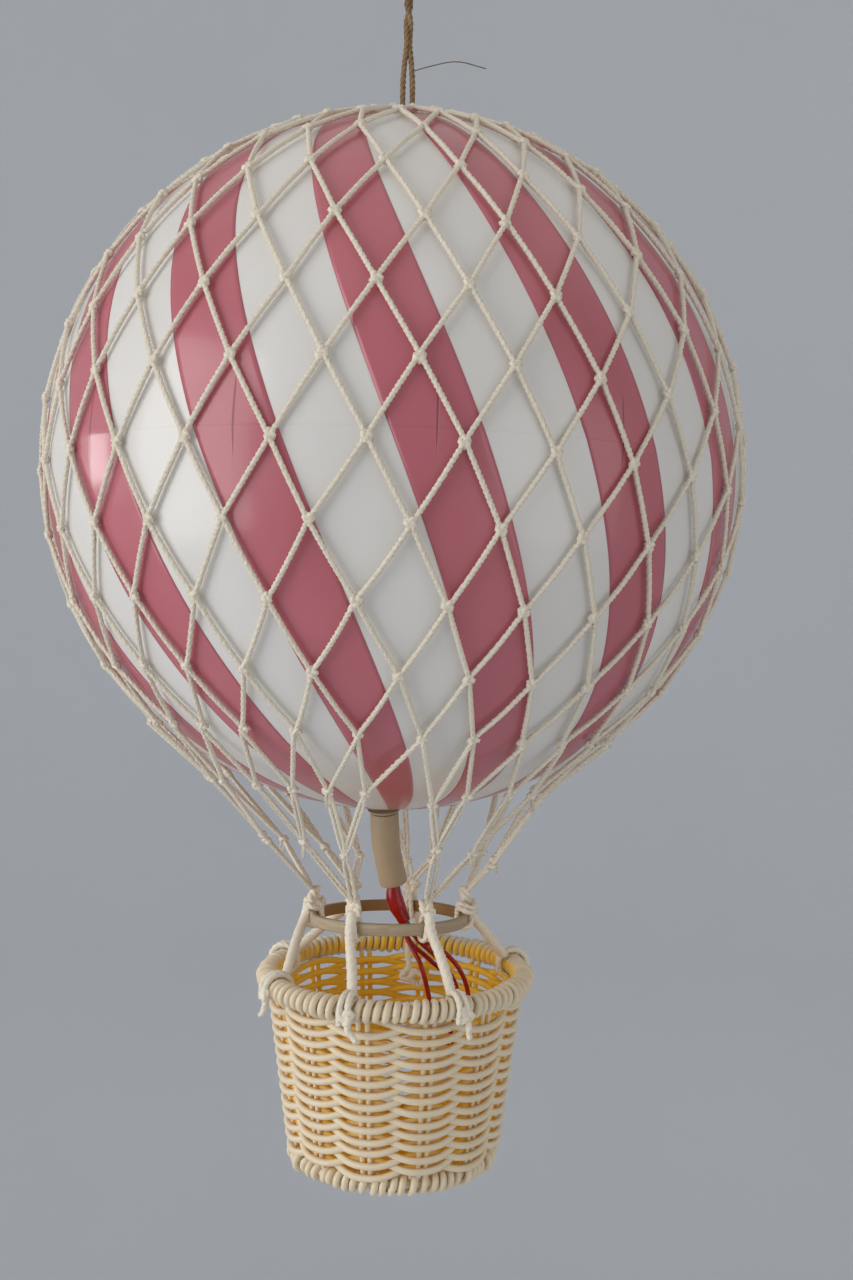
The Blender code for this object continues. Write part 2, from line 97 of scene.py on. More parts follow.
def surface(name, grids, uv, along=False, capped=True):
    """One mesh from grids of points (grid, step along, step round, 3), closed round. along joins the
    last step to the first, and capped fills both ends. uv has one more step where it closes."""
    count, steps, sides = grids.shape[:3]
    rows = steps if along else steps - 1
    i, j = np.meshgrid(np.arange(rows), np.arange(sides), indexing="ij")
    ring, spot = [i, i, i + 1, i + 1], [j, j + 1, j + 1, j]
    quads = np.stack([(a % steps) * sides + b % sides for a, b in zip(ring, spot)], -1).reshape(-1, 4)
    places = np.stack([a * (sides + 1) + b for a, b in zip(ring, spot)], -1).reshape(-1, 4)
    grid_start = np.arange(count)[:, None, None] * steps * sides
    uv_start = np.arange(count)[:, None, None] * uv.shape[1] * (sides + 1)
    quads = (quads + grid_start).reshape(-1, 4)
    places = (places + uv_start).reshape(-1, 4)
    loops, uvs = quads.ravel(), uv.reshape(-1, 2)[places.ravel()]
    starts = np.arange(len(quads)) * 4
    totals = np.full(len(quads), 4)
    if capped and not along:
        first = np.arange(sides)[::-1]
        last = (steps - 1) * sides + np.arange(sides)
        last_uv = (steps - 1) * (sides + 1) + np.arange(sides)
        ends = (np.stack([first, last]) + grid_start).reshape(-1, sides)
        end_places = (np.stack([first, last_uv]) + uv_start).ravel()
        starts = np.concatenate([starts, len(loops) + np.arange(len(ends)) * sides])
        totals = np.concatenate([totals, np.full(len(ends), sides)])
        loops = np.concatenate([loops, ends.ravel()])
        uvs = np.concatenate([uvs, uv.reshape(-1, 2)[end_places]])
    mesh = bpy.data.meshes.new(name)
    mesh.vertices.add(count * steps * sides)
    mesh.vertices.foreach_set("co", grids.reshape(-1).astype(np.float32))
    mesh.loops.add(len(loops))
    mesh.loops.foreach_set("vertex_index", loops.astype(np.int32))
    mesh.polygons.add(len(starts))
    mesh.polygons.foreach_set("loop_start", starts.astype(np.int32))
    mesh.polygons.foreach_set("loop_total", totals.astype(np.int32))
    mesh.polygons.foreach_set("use_smooth", totals == 4)
    mesh.uv_layers.new(name="way")
    mesh.uv_layers["way"].data.foreach_set("uv", uvs.astype(np.float32).ravel())
    mesh.update(calc_edges=True)
    mesh.validate()
    piece = bpy.data.objects.new(name, mesh)
    bpy.context.scene.collection.objects.link(piece)
    print(name, "faces", len(mesh.polygons))
    return piece


# %% [markdown]
# ## Tubes along paths
# A cord is a cross-section carried along a path. At each point the path's direction, an "out"
# direction squared to it, and their cross product make a small frame, and the section is drawn in the
# last two. The out direction is given, for example away from the ball, so nothing twists by accident.

# %% Sweeps


def spans(paths, closed):
    """Each point's direction: from the point before it to the point after it."""
    if closed:
        return unit(np.roll(paths, -1, 1) - np.roll(paths, 1, 1))
    return unit(np.gradient(paths, axis=1))


def lengths(paths):
    """The distance along each path at each of its points."""
    steps = np.linalg.norm(np.diff(paths, axis=1), axis=-1)
    return np.concatenate([np.zeros((len(paths), 1)), np.cumsum(steps, axis=1)], axis=1)


def sweep(name, paths, out, section, closed=False):
    """Carries a section (step, side, 2) along each path: point + x * out + y * (direction x out)."""
    along = spans(paths, closed)
    out = np.broadcast_to(out, paths.shape)
    out = unit(out - (out * along).sum(-1, keepdims=True) * along)
    side = np.cross(along, out)
    section = np.broadcast_to(section, (*paths.shape[:2], *section.shape[-2:]))
    grids = (paths[:, :, None] + section[..., :1] * out[:, :, None]
             + section[..., 1:] * side[:, :, None])
    far = lengths(np.concatenate([paths, paths[:, :1]], 1) if closed else paths)
    sides = section.shape[-2]
    uv = way_map(np.arange(sides + 1) / sides, far[..., None])
    return surface(name, grids, uv, along=closed)


def round_section(radius, sides):
    """A circle: radius * (cos a, sin a)."""
    turn = full_turn(sides)
    return np.stack([radius * np.cos(turn), radius * np.sin(turn)], -1)


# %% [markdown]
# ## Laid cord and smooth routes
# Cotton and jute cords are three strands laid round each other. A real twist of three tubes would be
# heavy, so one section has three pairs of shoulders with a valley between, and it turns as it goes
# along. A cord's route is a smooth curve through a few given points.

# %% Laid cord


def laid_section(paths, radius, pitch, valley=0.30, closed=False):
    """Three strands laid round each other: shoulders at the full radius and a valley between strands.
    Each column of points turns with the strands, once for each pitch of length."""
    shoulders = np.radians([0, 38, 82])
    columns = (np.radians([0, 120, 240])[:, None] + shoulders).ravel()
    reach = np.tile([1 - valley, 1.0, 1.0], 3) * radius
    far = lengths(paths)
    if closed:
        whole = far[:, -1:] + np.linalg.norm(paths[:, 0] - paths[:, -1], axis=-1)[:, None]
        pitch = whole / np.round(whole / pitch)
    turn = columns + (2 * np.pi * far / pitch)[..., None]
    return np.stack([reach * np.cos(turn), reach * np.sin(turn)], -1)


def laid_cord(name, paths, out, radius, pitch, valley=0.30, closed=False, width=1.0):
    """A laid cord along each path, its section scaled by width from point to point."""
    section = laid_section(paths, radius, pitch, valley, closed) * width
    return sweep(name, paths, out, section, closed)


def smooth_route(points, count):
    """Points spread evenly along a smooth curve through the given ones.
    Between two points it is the cubic whose end slopes are the mean slopes of the legs around them."""
    points = np.array(points, float)
    steps = np.linalg.norm(np.diff(points, axis=0), axis=1)
    slopes = np.diff(points, axis=0) / steps[:, None]
    before, after = steps[:-1, None], steps[1:, None]
    inner = (after * slopes[:-1] + before * slopes[1:]) / (before + after)
    tangents = np.vstack([slopes[:1], inner, slopes[-1:]])
    along = np.concatenate([[0.0], np.cumsum(steps)])
    at = np.linspace(0.0, along[-1], count)
    k = np.clip(np.searchsorted(along, at, side="right") - 1, 0, len(steps) - 1)
    h = steps[k][:, None]
    t = (at - along[k])[:, None] / h
    return (points[k] * (1 + 2 * t) * (1 - t) ** 2 + tangents[k] * h * t * (1 - t) ** 2
            + points[k + 1] * t * t * (3 - 2 * t) + tangents[k + 1] * h * t * t * (t - 1))


# %% [markdown]
# ## Shader arithmetic
# A finish is easier to read as a sum than as a picture of boxes. The class below wraps a socket, and
# plus, minus and times add the Math nodes. Every other node comes from `node`, which takes its
# type, its settings and the values of its sockets.

# %% A wrapped socket


class Wire:
    """A socket whose arithmetic adds Math nodes to its material."""

    def __init__(self, socket):
        self.socket = socket
        self.tree = socket.id_data

    def node(self, kind, settings=(), values=(), out=0):
        """A node of that kind: settings first, then the value or link of each socket."""
        made = self.tree.nodes.new(kind)
        for key, value in dict(settings).items():
            setattr(made, key, value)
        for key, value in dict(values).items():
            if isinstance(value, Wire):
                self.tree.links.new(value.socket, made.inputs[key])
            else:
                wide = made.inputs[key].type == "RGBA" and not isinstance(value, float)
                made.inputs[key].default_value = (*value, 1.0) if wide else value
        return Wire(made.outputs[out])

    def maths(self, operation, *values):
        """A Math node with that operation on those values."""
        return self.node("ShaderNodeMath", {"operation": operation}, enumerate(values))

    def __add__(self, other):
        return self.maths("ADD", self, other)

    def __sub__(self, other):
        return self.maths("SUBTRACT", self, other)

    def __rsub__(self, other):
        return self.maths("SUBTRACT", other, self)

    def __mul__(self, other):
        return self.maths("MULTIPLY", self, other)

    __radd__ = __add__
    __rmul__ = __mul__

    def sine(self):
        return self.maths("SINE", self)

    def cosine(self):
        return self.maths("COSINE", self)

    def root(self):
        """Its square root."""
        return self.maths("SQRT", self)

    def size(self):
        """Its size without its sign."""
        return self.maths("ABSOLUTE", self)

    def rise(self, low, high):
        """A smooth step: 0 below low and 1 above high."""
        return self.node("ShaderNodeMapRange", {"interpolation_type": "SMOOTHSTEP"},
                         {"Value": self, "From Min": low, "From Max": high})

    def mix(self, first, second):
        """The first colour where this is 0 and the second where it is 1."""
        return self.node("ShaderNodeMix", {"data_type": "RGBA"}, {0: self, 6: first, 7: second}, out=2)

    def noise(self, scale, detail=2.0):
        """Soft noise at this place, round one half."""
        return self.node("ShaderNodeTexNoise", {}, {"Vector": self, "Scale": scale, "Detail": detail})

    def apart(self):
        """The three parts of a vector."""
        made = self.tree.nodes.new("ShaderNodeSeparateXYZ")
        self.tree.links.new(self.socket, made.inputs[0])
        return [Wire(out) for out in made.outputs]


class Finish:
    """A material while it is made: its place, facing and way sockets, and its shader."""

    def __init__(self, name):
        self.material = bpy.data.materials.new(name)
        self.material.use_nodes = True
        tree = self.material.node_tree
        self.shader = tree.nodes["Principled BSDF"]
        self.place = Wire(tree.nodes.new("ShaderNodeTexCoord").outputs["Object"])
        self.facing = Wire(self.place.socket.node.outputs["Normal"])
        way = tree.nodes.new("ShaderNodeUVMap")
        way.uv_map = "way"
        self.round, self.far, _ = Wire(way.outputs[0]).apart()

    def streaks(self, across, along):
        """Long streaks: noise at the place (round * across, far * along)."""
        spot = {0: self.round * across, 1: self.far * along}
        return self.round.node("ShaderNodeCombineXYZ", {}, spot).noise(1.0, 3.0)

    def strands(self):
        """1 in the valleys of a laid cord and -1 on its three strands: the cosine of 6 pi * round."""
        return (self.round * (6 * math.pi)).cosine()

    def fibres(self, count, slant):
        """Fine fibres that slant round the cord: the sine of 2 pi * count * round + slant * far."""
        return (self.round * (2 * math.pi * count) + self.far * slant).sine()

    def set(self, height=None, deep=0.0001, **sockets):
        """Feeds the shader's sockets, and a bump of that depth from height."""
        if height is not None:
            bump = {"Height": height, "Distance": deep}
            sockets["Normal"] = self.place.node("ShaderNodeBump", {}, bump)
        for key, value in sockets.items():
            socket = self.shader.inputs[key.replace("_", " ")]
            if isinstance(value, Wire):
                socket.id_data.links.new(value.socket, socket)
            else:
                socket.default_value = (*value, 1.0) if socket.type == "RGBA" else value
        return self.material


def dress(piece, finish, body, slot, *nodes):
    """Gives a piece its finish, the body that it moves with, and the CAD nodes that it stands for."""
    piece.data.materials.append(finish)
    if body:
        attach(piece, body)
    if nodes:
        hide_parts(*nodes)
    return piece


# %% [markdown]
# ## Leads
# Four thin red leads come out of the sleeve under the ball, fan out and drop behind the basket's
# front rim, where a small connector is taken to join them. They are the limp cords of this part. A
# curve object would do, but a swept mesh lets the finish follow the lead's length.

# %% Leads
BALL_RADIUS = 0.150
BALL = np.array([-0.0035, 0.0, -0.232])
NECK_END = np.array([-0.0014, 0.0, BALL[2] - 0.1842])
SLEEVE_END = np.array([0.0039, 0.0, BALL[2] - 0.2022])
LEAD = 0.0021
LEAD_START, LEAD_STRAIGHT = 0.0006, 0.0055

# Each lead's place in the sleeve's mouth, and then its points in millimetres from the ball's height.
LEAD_ROUTES = {
    "lead_a": ((-0.9, -0.9), [(10.9, -6.0, -219.4), (14.3, -7.0, -231.0), (15.9, -6.0, -239.0),
                              (17.0, -2.5, -250.0), (18.4, 0.0, -260.0)]),
    "lead_b": ((-0.9, 0.9), [(15.6, 6.0, -221.0), (22.6, 8.5, -228.5), (25.4, 8.0, -237.0),
                             (23.4, 4.0, -250.0), (20.8, 0.0, -260.0)]),
    "lead_c": ((0.9, 0.9), [(19.0, 2.6, -219.4), (26.7, 3.4, -230.0), (29.0, 3.2, -239.0),
                            (26.2, 1.5, -250.0), (23.2, 0.0, -260.0)]),
    "lead_d": ((0.9, -0.9), [(20.3, -2.6, -213.9), (28.6, -3.2, -222.6), (33.0, -3.2, -236.0),
                             (30.6, -1.5, -249.0), (25.6, 0.0, -260.0)]),
}

red = Finish("red insulation")
dye = red.place.noise(220.0).rise(0.3, 0.7)
RED = red.set(Base_Color=dye.mix((0.30, 0.001, 0.002), (0.46, 0.006, 0.005)),
              Roughness=0.20 + 0.10 * red.place.noise(400.0),
              height=red.place.noise(600.0), deep=0.00004)


def lead_path(name):
    """A lead's centre line, as in the CAD: straight out of the sleeve, then through its own points."""
    (out, back), route = LEAD_ROUTES[name]
    way = unit(SLEEVE_END - NECK_END - np.array([0.0006, 0.0, -0.006]))
    aside = np.cross(BACK, way)
    start = SLEEVE_END + way * LEAD_START - aside * (out / 1000) + BACK * (back / 1000)
    points = [start, start + way * LEAD_STRAIGHT - aside * (out / 1500)]
    points += [np.array(p) / 1000 + UP * BALL[2] for p in route]
    return smooth_route(points, 37)


leads = {}
for name in LEAD_ROUTES:
    path = lead_path(name)
    leads[name] = sweep(name + "_insulation", path[None], BACK, round_section(LEAD / 2, 14))
    dress(leads[name], RED, "balloon", "red_insulation", name)
    print(name, "length", round(float(lengths(path[None])[0, -1]), 4))

# %% [markdown]
# ## Plug
# The connector is out of sight in the basket, so its shape is a plain guess: a flat plastic body
# with a latch on its front. Its outline is a rectangle with round corners that draws in at both ends.
# A cube with a Bevel modifier would look the same, but then it would have no UV of its own.

# %% Plug
PLUG_SIZE, PLUG_CORNER = np.array([0.0104, 0.0032, 0.0140]), 0.0006
PLUG_TOP = np.array([0.0220, 0.0, BALL[2] - 0.2604])
LATCH_SIZE, LATCH_CORNER = np.array([0.0036, 0.0011, 0.0080]), 0.0004
LATCH_PLACE = np.array([0.0, -0.0019, 0.0010])


def rounded_box(name, size, corner, centre, rows=3):
    """A box with rounded edges. Each corner of its outline is a quarter circle, and at both ends the
    outline draws in by corner * (1 - cos b) while it has corner * (1 - sin b) left to go."""
    turn = np.pi / 2 * np.arange(5) / 4
    half = size[:2] / 2 - corner
    quarter = np.stack([np.cos(turn), np.sin(turn)], -1)
    signs = np.array([(1, 1), (-1, 1), (-1, -1), (1, -1)])
    outline = np.concatenate([(quarter if k % 2 == 0 else quarter[::-1]) * s * corner + s * half
                              for k, s in enumerate(signs)])
    bend = np.pi / 2 * np.arange(rows + 1) / rows
    left = corner * (1 - np.sin(bend))
    draw = corner * (np.cos(bend) - 1)
    draw = np.concatenate([draw[::-1], draw])[:, None, None]
    lift = np.concatenate([left[::-1] - size[2] / 2, size[2] / 2 - left])[:, None]
    flat = outline + draw * unit(outline)
    grid = np.concatenate([flat, np.broadcast_to(lift[..., None], (*flat.shape[:2], 1))], -1)
    uv = way_map(np.linspace(0, 1, len(outline) + 1), lift)
    return surface(name, grid[None] + centre, uv[None])


nylon = Finish("plug plastic")
NYLON = nylon.set(Base_Color=nylon.place.noise(300.0).mix((0.72, 0.70, 0.64), (0.80, 0.79, 0.75)),
                  Roughness=0.35 + 0.1 * nylon.place.noise(800.0),
                  height=nylon.place.noise(1500.0), deep=0.00002)
plug_centre = PLUG_TOP - UP * (PLUG_SIZE[2] / 2)
plug = rounded_box("plug_body", PLUG_SIZE, PLUG_CORNER, plug_centre)
dress(plug, NYLON, "balloon", "plug_plastic", "lead_plug")
latch = rounded_box("plug_latch", LATCH_SIZE, LATCH_CORNER, plug_centre + LATCH_PLACE)
dress(latch, NYLON, "balloon", "plug_plastic")

# %% [markdown]
# ## Lead paths again
# A lead is limp, and whoever uses the part may let it hang by itself. Here each lead's path is only
# worked out once more, and nothing is done with it.

# %% Lead paths again
for name, piece in leads.items():
    path = lead_path(name)

# %% [markdown]
# ## The film ball
# The ball is thin film blown up tight. A sphere primitive has no rows where the creases are, so a grid
# of polar angle and azimuth is used, with more rows near the equator. There the two halves of the film
# are welded, and a low fold stands out all round.

# %% Film
BALL_LEAN_DEGREES = (-2.6, 1.0)
STRIPES = 13
STRIPE_SHARE = 0.46
STRIPE_AZIMUTH = math.radians(33.2)
STRIPE_TWIST = 0.405
EQUATOR_ROWS = np.linspace(81, 99, 37)


def leaning(degrees):
    """The matrix of a turn about Y and then about X."""
    x, y = np.radians(degrees)
    about_x = np.array([[1, 0, 0], [0, math.cos(x), -math.sin(x)], [0, math.sin(x), math.cos(x)]])
    about_y = np.array([[math.cos(y), 0, math.sin(y)], [0, 1, 0], [-math.sin(y), 0, math.cos(y)]])
    return about_x @ about_y


def on_sphere(radius, polar, azimuth):
    """Points on a sphere: polar angle from +Z, azimuth from -Y towards +X."""
    polar, azimuth, radius = np.broadcast_arrays(polar, azimuth, radius)
    flat = radius * np.sin(polar)
    return np.stack([flat * np.sin(azimuth), -flat * np.cos(azimuth), radius * np.cos(polar)], -1)


def film_radius(polar, azimuth):
    """The ball's radius, 0.9 mm in from the part's. A fold of 0.7 mm along the equator fades over 15 mm,
    a lift of 0.18 mm beside each seam fades over 6 mm, and a swell of 0.1 mm goes all over."""
    down_ball = (polar - np.pi / 2) * BALL_RADIUS
    ridge = 0.00070 * np.exp(-np.abs(down_ball) / 0.015)
    seam = (azimuth - STRIPE_AZIMUTH) * STRIPES / (2 * np.pi)
    across = np.abs(seam - np.round(seam)) * 2 * np.pi / STRIPES * BALL_RADIUS
    beside_seam = 0.00018 * np.exp(-across / 0.006) * np.exp(-(down_ball / 0.045) ** 2)
    swell = 0.00010 * np.sin(5 * azimuth + 3 * polar) * np.sin(7 * polar)
    return BALL_RADIUS - 0.0009 + ridge + beside_seam + swell


BALL_LEAN = leaning(BALL_LEAN_DEGREES)
FILM_TURNS = 312
rows = np.radians([*np.linspace(0.6, 80, 46), *EQUATOR_ROWS, *np.linspace(100, 179.4, 46)])[:, None]
turns = full_turn(FILM_TURNS) + STRIPE_AZIMUTH
skin = BALL + on_sphere(film_radius(rows, turns), rows, turns) @ BALL_LEAN.T
uv = way_map(np.arange(FILM_TURNS + 1) / FILM_TURNS, rows / np.pi)
film = surface("film_ball", skin[None, ::-1], uv[None, ::-1])

# %% [markdown]
# ## Pink stripes
# Thirteen pink stripes slant as they go down the ball. Colour on the ball's own grid would follow its
# rows in steps, so the stripes are a second skin a tenth of a millimetre out, whose edges stay sharp
# in any picture size. Each one leans by a fixed turn for each step of polar angle.

# %% Stripes


def stripe_skin(lift, across, polar):
    """Every pink stripe: across runs from -1 to 1 between its edges, polar down the ball."""
    half = math.pi / STRIPES * STRIPE_SHARE
    middle = STRIPE_AZIMUTH + STRIPE_TWIST * (polar - np.pi / 2)
    starts = full_turn(STRIPES)[:, None, None]
    azimuth = starts + middle + across * half
    radius = film_radius(polar, azimuth) + lift
    return BALL + on_sphere(radius, polar, azimuth) @ BALL_LEAN.T, azimuth - starts


polar = np.radians([*np.linspace(2.5, 80, 40), *EQUATOR_ROWS, *np.linspace(100, 177.4, 40)])[:, None]
across = np.linspace(-1, 1, 17)
high, where = stripe_skin(0.00012, across, polar)
low, _ = stripe_skin(-0.0003, across[::-1], polar)
where = (where - STRIPE_AZIMUTH) * BALL_RADIUS
around = np.concatenate([where, where[..., ::-1], where[..., :1]], -1)
uv = way_map(around, (polar - np.pi / 2) * BALL_RADIUS)
stripes = surface("film_stripes", np.concatenate([high, low], 2)[:, ::-1], uv[:, ::-1])

# %% [markdown]
# ## Finishes of the film
# The film is soft to the eye and has a weak gloss, so a rough base carries a thin coat. A low bump
# gives the unevenness of stretched film. The fold at the equator is darker, and down the middle of
# each pink stripe, near the fold, runs a thin slit whose groove is painted dark as painted shade.

# %% Film finishes
white = Finish("white film")
tone = white.place.noise(14.0, 3.0)
fold = 1 - ((white.far - 0.5).size() * (math.pi * BALL_RADIUS)).rise(0.0001, 0.0006)
WHITE = white.set(
    Base_Color=(tone.rise(0.3, 0.7) * 0.6 + fold * 0.4).mix((0.84, 0.82, 0.79), (0.78, 0.75, 0.715)),
    Roughness=0.30 + 0.14 * white.place.noise(60.0),
    Coat_Weight=0.45, Coat_Roughness=0.14,
    height=white.place.noise(26.0, 3.0) + white.place.noise(900.0) * 0.03, deep=0.0006)

pink = Finish("pink film")
tone = pink.place.noise(14.0, 3.0)
below = pink.far + 0.004
slit_half = 0.00028 - 1.9 * (below * below)
# The slit's dark colour is painted shade in its groove.
slit = 1 - (pink.round.size() - slit_half).rise(-0.0001, 0.00025)
fold = 1 - pink.far.size().rise(0.0001, 0.0006)
pinks = (tone.rise(0.3, 0.7) * 0.6 + fold * 0.4).mix((0.58, 0.155, 0.195), (0.49, 0.115, 0.15))
PINK = pink.set(
    Base_Color=(slit * 0.62).mix(pinks, (0.20, 0.035, 0.05)),
    Roughness=0.28 + 0.14 * pink.place.noise(60.0),
    Coat_Weight=0.45, Coat_Roughness=0.12,
    height=pink.place.noise(26.0, 3.0) + pink.place.noise(900.0) * 0.03 - slit * 0.4, deep=0.0006)
dress(film, WHITE, "balloon", "white_film", "envelope")
dress(stripes, PINK, "balloon", "pink_film", "envelope_stripes")
print("finishes", WHITE.name, PINK.name)

# %% [markdown]
# ## Places of the net's knots
# The net is cotton cord, knotted in diamonds: 28 cords fall to the right and 28 to the left, and each
# crossing is a knot. Every bar between two knots has the same length, so each row's height on the
# ball follows from the row before it. The net hangs a little askew, as on the real one.

# %% Knots on the ball
COLUMNS = 28
HALF = math.pi / COLUMNS
NET_BAR = 0.0334
NET_RADIUS = 0.1531
FIRST_AZIMUTH = math.radians(-67.9)
MIDDLE_ROW = math.radians(94.6)
NET_LEAN = np.array([-5.6, 2.2])
CROWN_LEAN = np.array([0.0, 1.3])
CROWN_RADIUS = 0.018
CROWN_ROW, LAST_ON_BALL = -8, 4
ROWS = LAST_ON_BALL - CROWN_ROW + 2


def next_row(polar, way):
    """The polar angle one bar length up or down the ball, half a mesh to the side."""
    here, there = on_sphere(NET_RADIUS, polar, 0.0), polar + way * 0.19
    for _ in range(30):
        there += way * (NET_BAR - np.linalg.norm(on_sphere(NET_RADIUS, there, HALF) - here)) / NET_RADIUS
    return there


polars = {0: MIDDLE_ROW}
for row in range(LAST_ON_BALL):
    polars[row + 1] = next_row(polars[row], 1)
for row in range(0, CROWN_ROW + 1, -1):
    polars[row - 1] = next_row(polars[row], -1)
polars[CROWN_ROW] = math.asin(CROWN_RADIUS / NET_RADIUS)
azimuths = FIRST_AZIMUTH + np.arange(2 * COLUMNS) * HALF
# Some rows are turned a degree or two to the left. The columns at the right take half of it, and those
# next to the front middle none.
twists = {-5: -1.8, -4: -1.8, -3: -0.9, 1: -1.0, 2: -1.6, 3: -2.2, 4: -2.2}
give = np.interp(np.arange(2 * COLUMNS), [0, 9, 11, 12, 14, 27, 34, 55], [1, 1, 0, 0, 0.5, 0.5, 1, 1])
knots = np.zeros((ROWS, 2 * COLUMNS, 3))
for row in range(CROWN_ROW, LAST_ON_BALL + 1):
    share = {-8: 0.0, -7: 0.35, -6: 0.75}.get(row, 1.0)
    turn = leaning(CROWN_LEAN + (NET_LEAN - CROWN_LEAN) * share)
    turned = azimuths + math.radians(twists.get(row, 0.0)) * give
    knots[row - CROWN_ROW] = BALL + on_sphere(NET_RADIUS, polars[row], turned) @ turn.T
print("rows on the ball", {row: round(math.degrees(p), 1) for row, p in sorted(polars.items())})

# %% [markdown]
# ## Free knots and joins
# Under the ball the net hangs free and is drawn in to six ties on the hoop. Its last row of knots and
# the joins of its legs are uneven on the real one, so their azimuths are a list in degrees, and the
# joins' drops are in millimetres. A leg goes from each join to one of the six ties.

# %% Free knots
HOOP_X, HOOP_Z, HOOP_RADIUS = -0.0032, BALL[2] - 0.200, 0.0339
HOOP_LEAN = leaning((-4.3, 0.0))
HOOP_TIES = np.radians([-26, 28, 95, 163, 210, 263])
LAST_ROW = np.radians([-72, -60, -41, -27, -15, -3.5, 20, 29, 46, 60, 73, 84, 95, 106,
                       120, 130, 147, 157, 171, 181, 197, 207, 223, 232, 249, 259, 271, 279])
LAST_POLAR = np.radians(np.where(np.arange(COLUMNS) == 6, 155.5, 152.0))
LAST_REACH = 0.1566
JOINS = np.radians([-70, -35.4, -18.9, 18.7, 37.2, 72, 93, 114, 151, 168, 200, 222, 251, 275])
JOIN_DROPS = np.array([162, 156.5, 161.5, 158.3, 161.8, 173.3, 173.5,
                       174, 181, 182, 180, 175, 168, 162]) / 1000
JOIN_TIES = np.array([5, 0, 0, 1, 1, 2, 2, 2, 3, 3, 4, 4, 5, 5])
# The joins lie on a cone, given by its top's depth under the ball's middle, its height, its top's radius
# and how much it draws in down to the ties.
CONE_DROP, CONE_TALL, CONE_RADIUS, CONE_DRAW = 0.138, 0.051, 0.077, 0.043


def radial(azimuth, radius, height, outwards, upwards, turn=np.eye(3), aside=0.0):
    """Points at an azimuth, given outwards and upwards from a level ring, then turned with the ring:
    ((radius + outwards) * sin a, -(radius + outwards) * cos a, upwards)."""
    azimuth, outwards, upwards = np.broadcast_arrays(azimuth, outwards, upwards)
    flat = radius + outwards
    local = np.stack([flat * np.sin(azimuth), -flat * np.cos(azimuth), upwards], -1)
    return local @ turn.T + np.array([aside, 0.0, height])


def on_hoop(azimuth, outwards, upwards):
    """Points given from the hoop's own line, which leans and sits a little aside."""
    return radial(azimuth, HOOP_RADIUS, HOOP_Z, outwards, upwards, HOOP_LEAN, HOOP_X)


knots[-1, 1::2] = BALL + on_sphere(LAST_REACH, LAST_POLAR, LAST_ROW) @ leaning(NET_LEAN).T
down = (JOIN_DROPS - CONE_DROP) / CONE_TALL
joined = BALL + radial(JOINS, CONE_RADIUS - CONE_DRAW * down, 0.0, 0.0, -JOIN_DROPS)
joined[:, 0] += (HOOP_X - BALL[0]) * down
tie_tops = on_hoop(HOOP_TIES, 0.0004, 0.0107)
print("bars under the ball", np.linalg.norm(knots[-1, 1::4] - joined, axis=1).round(4))

# %% [markdown]
# ## Cords of the net
# Every cord is one long laid tube from the crown ring to the hoop. On the ball it lies on the film and
# rises over the knots. Below the equator the bars that fall left are slack and sag, as the real net
# does where the ball turns under. A Wireframe modifier would give neither strands nor slack.

# %% Net cords
NET_CORD = 0.00114
CORD_PITCH = 0.0105
SKIN_GAP, KNOT_RISE = 0.0002, 0.0009
BAR_STEPS = 18
LOOSENESS = 0.00035
chance = np.random.default_rng(11)


def net_lines(way):
    """The points of 28 cords that step half a mesh sideways at each row, their outward directions and
    their widths. Between two knots t runs from 0 to 1 on a straight line, which is pushed out to the
    film, and a slack bar sags by 4t(1 - t) times its slack. Under the ball a cord runs beside its
    neighbour and is thinner. The cords of way -1 end at the joins, and the others at the hoop's ties."""
    columns = (2 * np.arange(COLUMNS)[:, None] + way * np.arange(ROWS)) % (2 * COLUMNS)
    last = columns[:, -1]
    controls = [knots[np.arange(ROWS), columns], joined[last // 4][:, None]]
    if way == 1:
        controls.append(tie_tops[JOIN_TIES[last // 4]][:, None])
    controls = np.concatenate(controls, 1)
    controls[:, 1:13] += chance.normal(0, LOOSENESS, controls[:, 1:13].shape)
    bars = controls.shape[1] - 1
    t = np.arange(BAR_STEPS) / BAR_STEPS
    lines = controls[:, :-1, None] * (1 - t)[:, None] + controls[:, 1:, None] * t[:, None]
    lines = np.concatenate([lines.reshape(COLUMNS, -1, 3), controls[:, -1:]], 1)
    row = np.append((np.arange(bars)[:, None] + t).ravel(), bars)
    slack = np.interp(np.arange(bars), [7, 9, 11, 12], [0.0, 0.0012, 0.0022, 0.0])
    slack = slack * (0.25 if way == 1 else 1.0) * chance.uniform(0.35, 1.0, (COLUMNS, bars))
    sag = (slack[..., None] * 4 * t * (1 - t)).reshape(COLUMNS, -1)
    lines[:, :-1] += sag[..., None] * DOWN
    out = unit(lines - BALL)
    reach = np.linalg.norm(lines - BALL, axis=-1)
    on_film = BALL_RADIUS + NET_CORD + SKIN_GAP
    near_knot = np.append(np.tile(np.abs(2 * t - 1) ** 6, bars), 1.0)
    reach = np.where(row < 12, on_film + KNOT_RISE * near_knot, np.maximum(reach, on_film))
    beside = unit(np.cross(out, DOWN))
    spread = np.append(np.tile(np.minimum(1, 5 * np.minimum(t, 1 - t)), bars), 0.4)
    hand = np.where(row < 13, 0, np.where(row < 14, way * 0.0009, 0.0013))
    hand = np.where(row < 14, hand, hand * np.where(last % 4 == 1, -1, 1)[:, None])
    lines = BALL + out * reach[..., None] + beside * (hand * spread)[..., None]
    return lines, out, np.interp(row, [12.8, 13.2], [1.0, 0.84])


